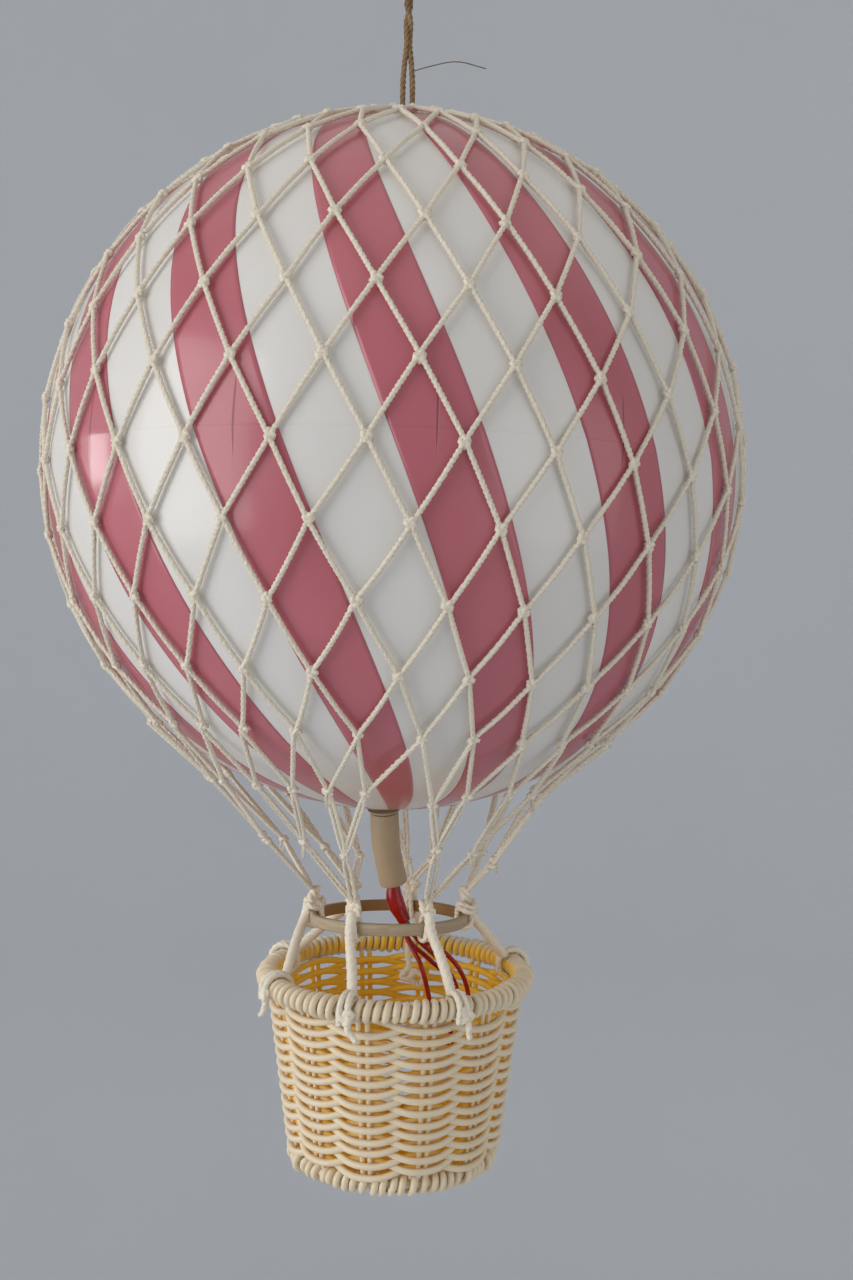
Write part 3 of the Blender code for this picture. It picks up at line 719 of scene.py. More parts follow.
cotton = Finish("cotton cord")
strand = cotton.strands()
worn = cotton.place.noise(90.0)
fluff = cotton.fibres(21, 2600.0)
# The valleys between the strands are painted darker as painted shade, mixed with random worn tone. A weak
# constant glow is painted light that brightens the whole cord.
COTTON = cotton.set(
    Base_Color=(strand.rise(0.55, 1.0) * 0.6 + worn * 0.4).mix((1.0, 0.93, 0.79), (0.90, 0.79, 0.62)),
    Roughness=0.86 + 0.1 * worn,
    Emission_Color=(1.0, 0.88, 0.66), Emission_Strength=0.035,
    Sheen_Weight=0.5, Sheen_Roughness=0.5, Sheen_Tint=(1.0, 0.92, 0.80),
    height=fluff * 0.4 + cotton.place.noise(1500.0) - strand * 0.5, deep=0.00006)
for way, name in ((1, "net_cords_falling_right"), (-1, "net_cords_falling_left")):
    lines, out, width = net_lines(way)
    cords = laid_cord(name, lines, out, NET_CORD, CORD_PITCH, 0.2, width=width[:, None, None])
    dress(cords, COTTON, "balloon", "cotton_cord", *(["net"] if way == 1 else []))

# %% [markdown]
# ## Net knots
# Where two cords meet, one is passed round the other and drawn tight, which leaves a small lump of
# two crossing turns. A trefoil path pressed flat against the ball has the same look, and as it is
# repeated hundreds of times it has only a few dozen faces.

# %% Net knots
KNOT_STEPS = 15
KNOT_STAND = 0.0017
NET_KNOT = {"size": 0.00168, "thick": 0.00075, "radius": 0.00115, "sides": 4}


def pretzels(centres, out, size, thick):
    """A trefoil round each centre, turned by chance and pressed along out:
    x = (sin t + 2 sin 2t) / 3, y = (cos t - 2 cos 2t) / 3 and z = -thick * sin 3t."""
    t = full_turn(KNOT_STEPS)
    down = unit(DOWN - (DOWN * out).sum(-1, keepdims=True) * out)
    side = np.cross(out, down)
    spin = chance.uniform(0, 2 * np.pi, (len(centres), 1))
    x = (np.sin(t) + 2 * np.sin(2 * t)) / 3
    y = (np.cos(t) - 2 * np.cos(2 * t)) / 3
    turned_x = x * np.cos(spin) - y * np.sin(spin)
    turned_y = x * np.sin(spin) + y * np.cos(spin)
    grow = chance.uniform(0.88, 1.12, (len(centres), 1)) * size
    flat = (turned_x * grow)[..., None] * down[:, None] + (turned_y * grow)[..., None] * side[:, None]
    return centres[:, None] + flat + (-np.sin(3 * t) * thick)[:, None] * out[:, None]


def knot_lumps(name, centres, out, size, thick, radius, sides):
    """Small knots of plain round cord, all in one mesh."""
    paths = pretzels(centres, unit(out), size, thick)
    return sweep(name, paths, out[:, None], round_section(radius, sides), closed=True)


row, column = np.meshgrid(np.arange(ROWS), np.arange(2 * COLUMNS), indexing="ij")
real = (row + column) % 2 == 0
row, column = row[real], column[real]
centres = knots[row, column]
out = unit(centres - BALL)
on_ball = (row < ROWS - 1)[:, None]
centres = np.where(on_ball, BALL + out * (BALL_RADIUS + KNOT_STAND), centres)
centres, out = np.concatenate([centres, joined]), np.concatenate([out, unit(joined - BALL)])
lumps = knot_lumps("net_knots", centres, out, **NET_KNOT)
dress(lumps, COTTON, "balloon", "cotton_cord")

# %% [markdown]
# ## Cut ends
# At a few knots under the ball the cord was cut off and its yarns have come apart. Each such end is
# four short tapered yarns that fall, lean away from the ball and bend a little by chance. Hair
# particles could do the same, but a few swept yarns are plain mesh from the start.

# %% Cut ends
END_LENGTH, END_RADIUS, END_STEPS = 0.0068, 0.00055, 9
starts = np.concatenate([knots[-1, [9, 19, 39]], joined[[1, 4, 6, 12]]])
away = unit(starts - BALL)
s = np.linspace(0, 1, END_STEPS)[:, None, None]
yarns = []
for _ in range(4):
    aim = unit(DOWN + 0.3 * away + chance.normal(0, 0.16, starts.shape))
    bend = chance.normal(0, 0.0006, starts.shape)
    yarns.append(np.moveaxis(starts + aim * END_LENGTH * s + bend * np.sin(np.pi * s), 0, 1))
taper = np.linspace(1, 0.35, END_STEPS)[:, None, None]
ends = sweep("net_cut_ends", np.concatenate(yarns), (0.3, 1.0, 0.1), round_section(END_RADIUS, 4) * taper)
dress(ends, COTTON, "balloon", "cotton_cord")

# %% [markdown]
# ## Crown
# The net's cords end on a ring of cord under the string, and a flat knot of jute ties the ring's
# middle to the string. The knot is a wound pad: a spiral of twine that runs in on one layer and out
# again on the next. A small loop of white cord passes through the pad and holds the string's end.

# %% Crown ring
RING_CORD, RING_LIFT = 0.0013, 0.0008
t = full_turn(96)
ring = np.stack([CROWN_RADIUS * np.cos(t), CROWN_RADIUS * np.sin(t), 0 * t + BALL_RADIUS + RING_LIFT], -1)
ring = (BALL + ring @ leaning(CROWN_LEAN).T)[None]
crown = laid_cord("crown_ring_cord", ring, UP, RING_CORD, 0.008, closed=True)
dress(crown, COTTON, "balloon", "cotton_cord", "crown_ring")

# %% Crown knot
jute = Finish("jute twine")
strand = jute.strands()
worn = jute.place.noise(260.0, 3.0)
# The valleys between the strands are painted darker as painted shade, mixed with random worn patches.
valley_shade_and_wear = strand.rise(0.2, 1.0) * 0.55 + worn.rise(0.35, 0.7) * 0.45
JUTE = jute.set(
    Base_Color=valley_shade_and_wear.mix((0.47, 0.315, 0.165), (0.23, 0.135, 0.06)),
    Roughness=0.85 + 0.1 * worn,
    height=jute.fibres(15, 3100.0) * 0.5 + jute.place.noise(1200.0) * 1.4 - strand * 0.5, deep=0.0002)

KNOT_Z = BALL[2] + BALL_RADIUS + 0.0048
PAD_TURNS, PAD_INNER, PAD_WIDTH = 5.5, 0.0020, 0.0100
t = np.linspace(0, 1, 260)
spiral = 2 * np.pi * PAD_TURNS * t
reach = PAD_INNER + PAD_WIDTH * np.abs(1 - 2 * t)
layer = KNOT_Z - 0.0020 + np.where(t < 0.5, 0.0013, -0.0010) + 0.0005 * np.sin(3 * spiral)
pad = np.stack([reach * np.cos(spiral), reach * np.sin(spiral), layer], -1)[None]
tied = laid_cord("crown_knot_twine", pad, UP, 0.0014, 0.008)
dress(tied, JUTE, "balloon", "jute_twine", "crown_knot")

t = full_turn(40)
lug = np.stack([0.0024 + 0.0013 * np.cos(t), -0.0022 + 0.0006 * np.sin(t),
                KNOT_Z - 0.0002 + 0.0036 * np.sin(t)], -1)[None]
lug = laid_cord("crown_lug", lug, BACK, 0.0012, 0.006, closed=True)
dress(lug, COTTON, "string", "cotton_cord")

# %% [markdown]
# ## String
# Two jute strands carry the whole model. They are laid round each other at the top and part into a
# narrow V over the crown, and one loose hair of jute stands off to the right. Each strand is one path,
# round its neighbour above and straight below.

# %% String
TWINE, TWINE_PITCH, TWINE_VALLEY = 0.0026, 0.0075, 0.14
STRING_TOP = -0.0308
STRING_LOW = KNOT_Z + 0.0016
HAIR = [(0.0012, 0.0, -0.0590), (0.0100, -0.002, -0.0570),
        (0.0205, -0.003, -0.0552), (0.0340, -0.002, -0.0575)]


def strand_path(side):
    """One strand: 0.95 mm from the string's middle it turns by pi * 1.75 over the upper 45%. From 22% down
    it parts by p(2 - p) to its own foot on the crown."""
    t = np.linspace(0, 1, 40)
    turn = math.pi * (side + 0.25 + 1.75 * np.minimum(t / 0.45, 1.0))
    laid = 0.00095 * np.stack([np.cos(turn), np.sin(turn)], -1)
    part = np.clip((t - 0.22) / 0.6, 0, 1)
    part = (part * (2 - part))[:, None]
    foot = np.array([(-0.0021, 0.0021)[side], 0.0])
    height = STRING_TOP + (STRING_LOW - STRING_TOP) * t
    return np.column_stack([laid * (1 - part) + foot * part, height])


for side, name in enumerate(("string_strand_a", "string_strand_b")):
    path = strand_path(side)
    piece = laid_cord(name + "_twine", path[None], BACK, TWINE / 2, TWINE_PITCH, TWINE_VALLEY)
    dress(piece, JUTE, "string", "jute_twine", name)
    print(name, "length", round(float(lengths(path[None])[0, -1]), 4))
hair = sweep("string_hair", smooth_route(HAIR, 30)[None], BACK, round_section(0.00022, 6))
dress(hair, JUTE, "string", "jute_twine")

# %% [markdown]
# ## Loop and knot for hanging
# Above the view the string is taken to end in a knot and a teardrop loop for a hook. The loop's
# outline is a circle whose width shrinks towards the knot. Two stubs of strand join it to the
# string, so that the string can swing under the knot without a gap.

# %% Loop and knot
LOOP_WIDTH, LOOP_HALF_HEIGHT, LOOP_KNOT_Z = 0.0072, 0.0113, -0.0250
t = full_turn(72)
width = LOOP_WIDTH * np.sin(t) * (0.62 + 0.38 * np.cos(t))
eye = np.stack([width, 0 * t, TWINE / 2 - LOOP_HALF_HEIGHT * (1 - np.cos(t))], -1)[None]
loop = laid_cord("hang_loop_twine", eye, BACK, TWINE / 2, 0.0065, 0.22, closed=True)
dress(loop, JUTE, "hang", "jute_twine", "hang_loop")

for side in (0, 1):
    stub = (strand_path(side)[:1] + UP * np.linspace(0.0050, -0.0002, 12)[:, None])[None]
    stub = laid_cord(f"loop_strand_{'ab'[side]}", stub, BACK, TWINE / 2, TWINE_PITCH, TWINE_VALLEY)
    dress(stub, JUTE, "hang", "jute_twine")

t = full_turn(60)
wide = 0.0028 * (1 + 0.18 * np.cos(5 * t))
height = LOOP_KNOT_Z + 0.0012 * np.cos(2 * t + 0.4)
wraps = np.stack([wide * np.cos(3 * t), wide * np.sin(3 * t), height], -1)[None]
knot = sweep("loop_knot_twine", wraps, wraps * [1, 1, 0], round_section(0.0012, 7), closed=True)
dress(knot, JUTE, "hang", "jute_twine", "loop_knot")

# %% [markdown]
# ## Neck and sleeve
# Under the ball hangs a short soft tube, bent a little, and a glossy red sleeve comes out of it and
# narrows towards the hoop. Both are turned profiles carried along a bent path, so the tube's cut end
# and its thin dark collar are part of the profile.

# %% Neck and sleeve
NECK = 0.0063
NECK_SHARES = [0, 0.02, 0.035, 0.05, 0.065, 0.08, *np.linspace(0.12, 0.96, 24),
               0.985, 0.995, 1.0, 1.0, 0.96, 0.93]
NECK_RADII = [0.0074, 0.0072, 0.0067, 0.0062, 0.0061, NECK, *(NECK + 0.0001 * np.sin(np.linspace(0, 7, 24))),
              NECK, 0.0062, 0.0059, 0.0051, 0.0049, 0.0049]
SLEEVE_SHARES = [0, 0.10, 0.25, 0.45, 0.62, 0.80, 0.93, 0.98, 1.0]
SLEEVE_RADII = [0.0026, 0.0027, 0.0034, 0.0039, 0.0038, 0.0032, 0.0029, 0.0027, 0.0020]
FINE = 400


def bent_tube(name, points, shares, radii, sides):
    """A round tube along a smooth path: at each share of its length a circle of that share's radius."""
    shares = np.array(shares)
    spots = np.round(shares * FINE).astype(int)
    fine = smooth_route(points, FINE + 1)[None]
    path, along = fine[0, spots], spans(fine, False)[0, spots]
    out = unit(BACK - along[:, 1:2] * along)
    side = np.cross(along, out)
    turn = full_turn(sides)[:, None]
    circle = np.cos(turn) * out[:, None] + np.sin(turn) * side[:, None]
    grid = path[:, None] + np.array(radii)[:, None, None] * circle
    uv = way_map(np.arange(sides + 1) / sides, shares[:, None])
    return surface(name, grid[None], uv[None])


pole = BALL + BALL_LEAN @ (DOWN * (BALL_RADIUS - 0.0005))
middle = (pole + NECK_END) / 2 + np.array([-0.0012, 0.0, 0.0])
tube = bent_tube("neck_tube", [pole, middle, NECK_END], NECK_SHARES, NECK_RADII, 40)
rubber = Finish("neck tube")
collar = 1 - (rubber.far - 0.042).size().rise(0.006, 0.016)
RUBBER = rubber.set(
    Base_Color=(collar * 0.85 + rubber.place.noise(160.0) * 0.2).mix((0.50, 0.38, 0.24), (0.12, 0.07, 0.035)),
    Roughness=0.42 + 0.15 * rubber.place.noise(220.0),
    height=rubber.place.noise(240.0, 3.0), deep=0.00008)
dress(tube, RUBBER, "balloon", "neck_rubber", "neck")

first = NECK_END + np.array([0.0, 0.0, 0.0008])
route = [first, first + np.array([0.0003, 0.0, -0.007]), SLEEVE_END]
even = np.linspace(0, 1, 48)
sleeve = bent_tube("red_sleeve", route, even, np.interp(even, SLEEVE_SHARES, SLEEVE_RADII), 28)
dress(sleeve, RED, "balloon", "red_insulation", "lead_sleeve")

# %% [markdown]
# ## Hoop
# The hoop is a flat band of cane, pale outside and brown inside. Its section is a rectangle with round
# corners, made from a circle whose cosine and sine are raised to a small power, and it is turned round
# an axis with a slight wave. A Torus would be round, and a bent box would show its joint.

# %% Hoop
HOOP_THICK, HOOP_TALL, HOOP_CORNER = 0.0030, 0.0052, 0.45
HOOP_STEPS, HOOP_SIDES = 144, 20
t = full_turn(HOOP_STEPS)[:, None]
corner = full_turn(HOOP_SIDES)
band_x = np.sign(np.cos(corner)) * np.abs(np.cos(corner)) ** HOOP_CORNER * HOOP_THICK / 2
band_z = np.sign(np.sin(corner)) * np.abs(np.sin(corner)) ** HOOP_CORNER * HOOP_TALL / 2
band = on_hoop(t, band_x + 0.00018 * np.sin(3 * t + 1), band_z + 0.0002 * np.sin(2 * t + 2))
far = np.arange(HOOP_STEPS + 1)[:, None] / HOOP_STEPS * 2 * np.pi * HOOP_RADIUS
uv = way_map(np.arange(HOOP_SIDES + 1) / HOOP_SIDES, far)
hoop = surface("hoop_band", band[None], uv[None], along=True)

cane = Finish("hoop cane")
x, y, _ = cane.place.apart()
facing_x, facing_y, _ = cane.facing.apart()
inward = 1 - (facing_x * x + facing_y * y).rise(-0.02, 0.012)
grain = cane.streaks(18.0, 60.0)
outside = grain.rise(0.3, 0.7).mix((0.50, 0.40, 0.27), (0.40, 0.305, 0.185))
CANE = cane.set(Base_Color=inward.mix(outside, (0.33, 0.18, 0.05)),
                Roughness=0.45 + 0.2 * grain, height=grain, deep=0.00012)
dress(hoop, CANE, "balloon", "hoop_cane", "hoop")

# %% [markdown]
# ## Ties on the hoop
# At six places the net's legs are gathered and knotted over the band. Each tie is two turns of cord
# round the band, drawn as one closed outline that comes to a point above it. At both sides of the
# view the cord is hitched round the tie, and small gathering knots sit on top.

# %% Hoop ties
TIE_CORD, TIE_PITCH = 0.00125, 0.009
HITCH_CORD, HITCH_REACH, HITCH_TURN = 0.00135, 0.0038, 0.08
GATHER_KNOT = {"size": 0.0030, "thick": 0.0012, "radius": TIE_CORD, "sides": 7}
TIE_LOOP = np.array([(0.00315, 0.0015), (0.00315, -0.0015), (0.00275, -0.0036), (0.0012, -0.00445),
                     (-0.0012, -0.00445), (-0.00275, -0.0036), (-0.00315, -0.0015), (-0.00315, 0.0015),
                     (-0.0024, 0.0050), (0.0, 0.0068), (0.0024, 0.0050)])


def closed_route(points, count):
    """A smooth closed curve through points: three turns of them are joined and the middle one kept."""
    fine = smooth_route(np.concatenate([points, points, points, points[:1]]), 3 * count + 1)
    return fine[count:2 * count]


def beside(azimuth):
    """The level direction along a ring at an azimuth: (cos a, sin a, 0)."""
    return np.array([math.cos(azimuth), math.sin(azimuth), 0.0])


def outward(azimuths, rise):
    """The directions away from a ring's axis at azimuths: (sin a, -cos a, rise)."""
    return np.stack([np.sin(azimuths), -np.cos(azimuths), 0 * azimuths + rise], -1)


flat = closed_route(np.column_stack([TIE_LOOP, np.zeros(len(TIE_LOOP))]), 44)
spread = (1 - flat[:, 1] / 0.012) / HOOP_RADIUS
for i, azimuth in enumerate(HOOP_TIES):
    paths = np.stack([on_hoop(azimuth + shift * spread, flat[:, 0] * 0.96, flat[:, 1])
                      for shift in (-0.0013, 0.0013)])
    piece = laid_cord(f"hoop_tie_{i + 1}_cord", paths, beside(azimuth), TIE_CORD, TIE_PITCH, closed=True)
    dress(piece, COTTON, "balloon", "cotton_cord", f"hoop_tie_{i + 1}")

t = full_turn(48)
hitches = np.stack([on_hoop(HOOP_TIES[tie] - HITCH_TURN + across * np.sin(t) / HOOP_RADIUS,
                            0.0008 + HITCH_REACH * np.cos(t), lift + 0.0009 * np.sin(2 * t))
                    for tie, across, lift in ((5, 0.0062, 0.0042), (5, 0.0040, 0.0060),
                                              (2, 0.0066, 0.0040), (2, 0.0042, 0.0058))])
piece = laid_cord("hoop_hitches", hitches, UP, HITCH_CORD, TIE_PITCH, closed=True)
dress(piece, COTTON, "balloon", "cotton_cord")

spots = np.concatenate([on_hoop(HOOP_TIES + turn, 0.0006 + outwards, upwards)
                        for turn, outwards, upwards in ((0.01, 0.0006, 0.0080), (-0.02, -0.0004, 0.0100))])
out = np.tile(outward(HOOP_TIES, 0.2), (2, 1))
gathers = knot_lumps("net_gather_knots", spots, out, **GATHER_KNOT)
dress(gathers, COTTON, "balloon", "cotton_cord")

# %% [markdown]
# ## Cords between hoop and basket
# Six thick, smooth cords come over the hoop and run down and out to the basket's rim. Each moves with
# no body: its place is baked into its mesh.

# %% Suspension cords
RIM_Z, RIM_RADIUS, RIM_TUBE = BALL[2] - 0.2258, 0.0571, 0.0050
RIM_TIES = np.radians([-19, 27, 110, 165, 245, 297])
ROPE, ROPE_PITCH, ROPE_VALLEY, ROPE_STEPS = 0.0024, 0.012, 0.10, 34


def on_rim(azimuth, outwards, upwards):
    """Points given from the rim's own line."""
    return radial(azimuth, RIM_RADIUS, RIM_Z, outwards, upwards)


s = np.linspace(0, 1, ROPE_STEPS)[:, None]
for i, (upper, lower) in enumerate(zip(HOOP_TIES, RIM_TIES)):
    band, rim = on_hoop(upper, 0.0, 0.0), on_rim(lower, 0.0, 0.0)
    way = unit(rim - band)
    above, front, finish = on_hoop(upper, 0.0026, 0.0078), on_hoop(upper, 0.0039, 0.0010), rim - way * 0.0062
    span = finish - front
    path = smooth_route([above, front, front + span * 0.35, front + span * 0.7, finish], ROPE_STEPS)
    path = (path + np.cross(way, UP) * 0.0007 * np.sin(2 * np.pi * s + i) * s)[None]
    out = BACK if abs(way[1]) < 0.6 else (1.0, 0.0, 0.0)
    piece = laid_cord(f"suspension_cord_{i + 1}_rope", path, out, ROPE, ROPE_PITCH, ROPE_VALLEY)
    dress(piece, COTTON, None, "cotton_cord", f"suspension_cord_{i + 1}")
    band + way * 0.0061
    rim - way * 0.0087
    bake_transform(piece)

# %% [markdown]
# ## Ties on the rim
# Each cord is passed round the coiled rim, knotted on itself and cut short, so a tail hangs outside.
# The turn of cord is a path round the rim's section that runs on into the tail. One long end also
# hangs down inside the basket, at the back, and curls on itself.

# %% Rim ties
TURN_REACH, TAIL_CORD, TURN_CORD, INNER_CORD = 0.0066, 0.0015, 0.0014, 0.0016
TIE_VALLEY = 0.2
TAIL_STEPS, TURN_STEPS = 54, 44
RIM_KNOT = {"size": 0.0030, "thick": 0.0008, "radius": 0.0013, "sides": 6}
turns_round = np.radians([232, 205, 180, 146, 112, 78, 44, 10, -20])
over = TURN_REACH * np.column_stack([np.cos(turns_round), np.sin(turns_round)])
# Each tail's tip in millimetres: out from the rim, up, and along it.
TAILS = [(8.0, -11.0, 3.4), (7.6, -11.5, 0.4), (8.4, -10.0, 2.4),
         (7.8, -11.0, -2.0), (8.0, -11.0, 1.0), (8.4, -10.5, -1.6)]
INNER_TAIL = [(11.0, 50.0, -452.0), (9.0, 47.0, -453.5), (6.0, 44.0, -457.0), (6.3, 42.0, -462.0),
              (6.6, 40.5, -466.0), (3.4, 39.5, -470.5), (6.0, 39.0, -471.5), (9.5, 39.5, -468.5),
              (13.8, 39.5, -471.0), (11.4, 39.0, -474.0), (6.4, 38.6, -470.6)]
taper = np.interp(np.linspace(0, 1, TAIL_STEPS), [0, 0.85, 1], [1, 1, 0.8])[:, None, None]
for i, azimuth in enumerate(RIM_TIES):
    tip = np.array(TAILS[i]) / 1000
    points = np.concatenate([over, [(0.0071, -0.0070), (tip[0] - 0.0010, -0.0090), tip[:2]]])
    last = len(points) - 1
    shift = np.interp(np.arange(last + 1), [0, 4, 9, last], [-0.0016, 0.0002, 0.0012, tip[2] + 0.0012])
    fine = smooth_route(np.column_stack([points, shift]), TAIL_STEPS)
    level = beside(azimuth)
    path = on_rim(azimuth + fine[:, 2] / RIM_RADIUS, fine[:, 0], fine[:, 1])[None]
    piece = laid_cord(f"rim_tie_{i + 1}_cord", path, level, TAIL_CORD, TIE_PITCH, TIE_VALLEY, width=taper)
    dress(piece, COTTON, "basket", "cotton_cord", f"rim_tie_{i + 1}")
    fine = fine[:TURN_STEPS]
    path = on_rim(azimuth - fine[:, 2] / RIM_RADIUS - 0.03, fine[:, 0] * 1.03, fine[:, 1] * 1.03)[None]
    piece = laid_cord(f"rim_tie_{i + 1}_turn", path, level, TURN_CORD, TIE_PITCH, TIE_VALLEY)
    dress(piece, COTTON, "basket", "cotton_cord")

inside = smooth_route(np.array(INNER_TAIL) / 1000, 90)[None]
piece = laid_cord("rim_inner_tail", inside, BACK, INNER_CORD, TIE_PITCH, TIE_VALLEY)
dress(piece, COTTON, "basket", "cotton_cord")
spots = on_rim(RIM_TIES, 0.0064, -0.0012)
piece = knot_lumps("rim_tie_knots", spots, outward(RIM_TIES, 0.15), **RIM_KNOT)
dress(piece, COTTON, "basket", "cotton_cord")

# %% [markdown]
# ## Finish of the reed
# The basket's reed is pale where it stands out, at the coiled rim and at the foot. Where it lies deep,
# between the rows and inside, and where it faces inwards, it is painted golden brown: painted shade and
# a painted glow for light that shines through the thin reed and bounces inside, and a weak golden glow
# is added there too. Faces that look up are painted a little lighter. One sum makes this mask from the
# distance to the wall's cone, the way that the surface faces and its height. Fine streaks run along
# each reed, from its own UV.

# %% Reed finish
reed = Finish("basket reed")
x, y, z = reed.place.apart()
facing_x, facing_y, facing_z = reed.facing.apart()
outwards = (facing_x * x + facing_y * y) * 18.0
depth = (x * x + y * y).root() - (0.1151 + 0.1318 * z)
coils = (z + 0.466).rise(0.0, 0.005) * 2.3 + (0.0 - z - 0.529).rise(0.0, 0.005) * 1.6
under = (0.0 - z - 0.5335).rise(0.0, 0.002) * (0.0 - facing_z).rise(0.0, 0.5)
# The mask is 1 where the reed's own pale colour shows and 0 where golden painted shade and painted glow go;
# the emission paints the same glow.
pale_vs_painted_gold = (depth * 620.0 + outwards * 1.1 + facing_z * 0.15 + coils + under * 30.0).rise(-0.1, 1.4)
streak = reed.streaks(7.0, 70.0)
dry = streak.rise(0.3, 0.75) * 0.6 + reed.place.noise(40.0) * 0.4
REED = reed.set(Base_Color=pale_vs_painted_gold.mix((0.96, 0.60, 0.05), dry.mix((0.90, 0.79, 0.60), (0.82, 0.67, 0.45))),
                Emission_Color=pale_vs_painted_gold.mix((1.0, 0.62, 0.02), (0.0, 0.0, 0.0)), Emission_Strength=0.03,
                Roughness=0.42 + 0.2 * streak, height=streak, deep=0.0001)
print("finish", REED.name)

# %% [markdown]
# ## Woven wall
# Pairs of stakes stand all round, and each weaver passes outside one pair and inside the next, so its
# distance from the axis follows one slow wave, which the next row has the other way round. Its height
# follows the same wave, because the reed slips down where it bulges. A flat wall with a bump would
# look thin from inside.

# %% Woven wall
STAKE_GROUPS, GROUP_AZIMUTH = 12, math.radians(15.3)
STAKE_RADIUS, STAKE_APART, STAKE_STEPS = 0.00115, 0.0019 / 0.052, 24
WEAVERS, WEAVE_STEPS, WEAVE_WAVE = 26, 216, 0.0021
REED_RADIUS = 0.00158
FOOT_Z, FOOT_RADIUS, FOOT_TUBE = BALL[2] - 0.3047, 0.0428, 0.0048
WALL_TOP, WALL_FOOT, WALL_INSET = 0.0572, 0.0482, 0.0031
WALL_TOP_Z, WALL_FOOT_Z = RIM_Z - 0.0054, FOOT_Z + 0.0052


def wall_middle(z):
    """The radius of the wall's middle at a height: it narrows evenly from the top to the foot."""
    share = (WALL_TOP_Z - z) / (WALL_TOP_Z - WALL_FOOT_Z)
    return WALL_TOP + (WALL_FOOT - WALL_TOP) * share - WALL_INSET


turn = full_turn(WEAVE_STEPS)
level = np.arange(WEAVERS)
base = np.linspace(WALL_TOP_Z - 0.0012, WALL_FOOT_Z + 0.0012, WEAVERS)[:, None]
wave = np.cos(6 * (turn - GROUP_AZIMUTH)) * np.where(level % 2 == 0, 1.0, -1.0)[:, None]
wave = wave * (1.25 - 0.25 * wave ** 2)
drift = chance.normal(0, 0.00018, (WEAVERS, 1))
drift = drift + 0.0003 * np.sin(turn * 2 + chance.uniform(0, 6, (WEAVERS, 1)))
height = base - WEAVE_WAVE * wave + drift
flat = wall_middle(height) + WEAVE_WAVE * wave
weave = np.stack([flat * np.sin(turn), -flat * np.cos(turn), height], -1)
wall = sweep("basket_weavers", weave, outward(turn, 0.0), round_section(REED_RADIUS, 8), closed=True)
dress(wall, REED, "basket", "basket_reed", "basket_wall")

groups = GROUP_AZIMUTH + full_turn(STAKE_GROUPS)
stakes = np.concatenate([groups - STAKE_APART, groups + STAKE_APART])
z = np.linspace(RIM_Z - 0.001, FOOT_Z + 0.001, STAKE_STEPS)
heights = [FOOT_Z, WALL_FOOT_Z, WALL_TOP_Z, RIM_Z]
reach = np.interp(z, heights, [FOOT_RADIUS, wall_middle(WALL_FOOT_Z), wall_middle(WALL_TOP_Z), RIM_RADIUS])
posts = radial(stakes[:, None], reach, 0.0, 0.0, z)
posts = sweep("basket_stakes", posts, outward(stakes, 0.0)[:, None], round_section(STAKE_RADIUS, 8))
dress(posts, REED, "basket", "basket_reed")

# %% [markdown]
# ## Coiled rim and foot
# The rim and the foot are reed wound round a core. The winding is a closed helix, and chance makes
# each turn a little uneven, more at the foot, where the real coil is loose. A Torus with a bump would
# have no gaps between its turns.

# %% Rim and foot
COIL_STEPS = 16
CORE_INSET = 0.0027


def coil(tube, wraps, seed, loose):
    """A reed wound round a ring: on turn w of n its azimuth is 2 pi w / n, shifted by a share of one turn
    (loose) by chance, and it goes round the tube once, standing off by some tenths of a millimetre."""
    draw = np.random.default_rng(seed)
    t = np.arange(wraps * COIL_STEPS) / (wraps * COIL_STEPS)
    at = t * wraps
    noise = np.interp(at, np.arange(wraps + 1), np.append(draw.normal(0, loose, wraps), 0.0), period=wraps)
    swell = np.append(draw.normal(0, 0.0002 + loose * 0.003, wraps), 0.0)
    reach = tube - REED_RADIUS + np.interp(at, np.arange(wraps + 1), swell, period=wraps)
    return 2 * np.pi * (t + noise / wraps), reach * np.cos(2 * np.pi * at), reach * np.sin(2 * np.pi * at)


for node, radius, tube_radius, height, wraps, loose, seed in (
        ("basket_rim", RIM_RADIUS, RIM_TUBE, RIM_Z, 94, 0.05, 3),
        ("basket_foot", FOOT_RADIUS, FOOT_TUBE, FOOT_Z, 66, 0.16, 5)):
    spot, out, up = coil(tube_radius, wraps, seed, loose)
    path = radial(spot, radius, height, out, up)[None]
    ring_way = np.stack([np.cos(spot), np.sin(spot), 0 * spot], -1)
    piece = sweep(node + "_coil", path, ring_way, round_section(REED_RADIUS, 8), closed=True)
    dress(piece, REED, "basket", "basket_reed", node)
    core = radial(full_turn(72), radius, height, 0.0, 0.0)[None]
    core = sweep(node + "_core", core, UP, round_section(tube_radius - CORE_INSET, 8), closed=True)
    dress(core, REED, "basket", "basket_reed")

# %% [markdown]
# ## Floor
# The floor can't be seen, so it is taken to be woven in a spiral, as round baskets often are. One reed
# runs from the middle to the foot and goes up and down by less than a millimetre.

# %% Floor
FLOOR_TURNS, FLOOR_INNER, FLOOR_WIDTH, FLOOR_REED = 13.0, 0.0012, 0.0362, 0.00135
t = np.linspace(0, 1, 900)
spiral = 2 * np.pi * FLOOR_TURNS * t
path = radial(spiral, FLOOR_INNER, FOOT_Z + 0.0010, FLOOR_WIDTH * t, 0.0007 * np.sin(6.5 * spiral))[None]
floor = sweep("basket_floor_weave", path, UP, round_section(FLOOR_REED, 6))
dress(floor, REED, "basket", "basket_reed", "basket_floor")

# %% [markdown]
# ## Studio
# The stage is one bowl: a floor that curves up into a wall all round, so every view has the same plain
# ground. It lies two metres under the model, because the model hangs and can be seen from below.

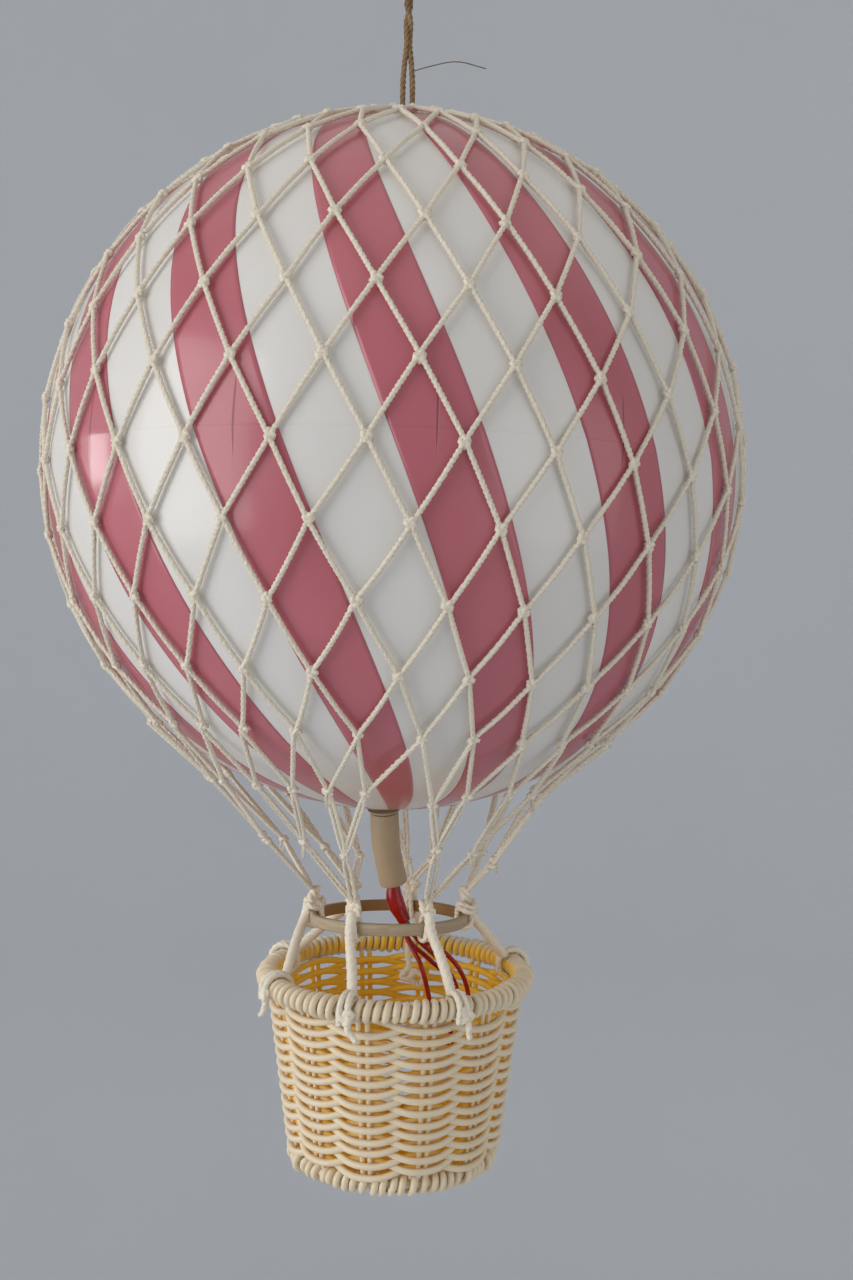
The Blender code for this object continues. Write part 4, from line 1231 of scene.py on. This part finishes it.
# %% Stage
FLOOR_RADIUS, BEND, BOWL_FLOOR, WALL_HEIGHTS = 2.4, 0.8, -2.10, (3.4, 4.98)
bend = np.linspace(0, np.pi / 2, 12)
flat = np.array([0.001, 0.8, 1.6, *(FLOOR_RADIUS + BEND * np.sin(bend)), 3.2, 3.2])[:, None]
high = np.array([0.0, 0.0, 0.0, *(BEND * (1 - np.cos(bend))), *WALL_HEIGHTS])[:, None]
turn = full_turn(96)
bowl = radial(turn, flat, BOWL_FLOOR, 0.0, high)
stage = surface("studio_bowl", bowl[None], way_map(np.arange(97) / 96, flat)[None], capped=False)
pale = Finish("studio paper")
PAPER = pale.set(Base_Color=pale.place.noise(2.0).mix((0.605, 0.635, 0.675), (0.635, 0.665, 0.705)),
                 Roughness=0.9, height=pale.place.noise(300.0), deep=0.0001)
stage.data.materials.append(PAPER)

# %% [markdown]
# ## Light
# The model hangs in soft daylight from the left. A small light there gives the gloss on the film, a
# wide one beside it does most of the lighting, and a weaker, warmer one fills the right. Area lights
# are used because their size sets how soft a shadow's edge is.

# %% Light
SKY, SKY_STRENGTH = (1.0, 0.97, 0.93, 1.0), 0.58


def soft_light(name, place, target, size, power, colour):
    """A rectangular light that faces a point: tilted by acos(-z) and turned by atan2(-x, y) of its aim."""
    light = bpy.data.lights.new(name, "AREA")
    light.shape, light.size, light.size_y = "RECTANGLE", *size
    light.energy, light.color = power, colour
    lamp = bpy.data.objects.new(name, light)
    bpy.context.scene.collection.objects.link(lamp)
    lamp.location = place
    lamp.visible_camera = False
    aim = unit(np.array(target) - np.array(place))
    lamp.rotation_euler = (math.acos(-aim[2]), 0.0, math.atan2(-aim[0], aim[1]))
    print(name, power, "W")


soft_light("gloss_light", (-2.66, 0.64, -0.17), (0.0, 0, -0.23), (0.56, 0.44), 5.8, (1.0, 0.97, 0.96))
soft_light("left_fill", (-2.4, -1.2, 0.02), (0, 0, -0.25), (2.0, 2.6), 44.0, (1.0, 0.98, 0.96))
soft_light("right_fill", (2.2, -1.76, -0.30), (0, 0, -0.27), (2.4, 2.0), 12.5, (1.0, 0.94, 0.86))
world = bpy.data.worlds.new("sky")
bpy.context.scene.world = world
world.use_nodes = True
world.node_tree.nodes["Background"].inputs["Color"].default_value = SKY
world.node_tree.nodes["Background"].inputs["Strength"].default_value = SKY_STRENGTH
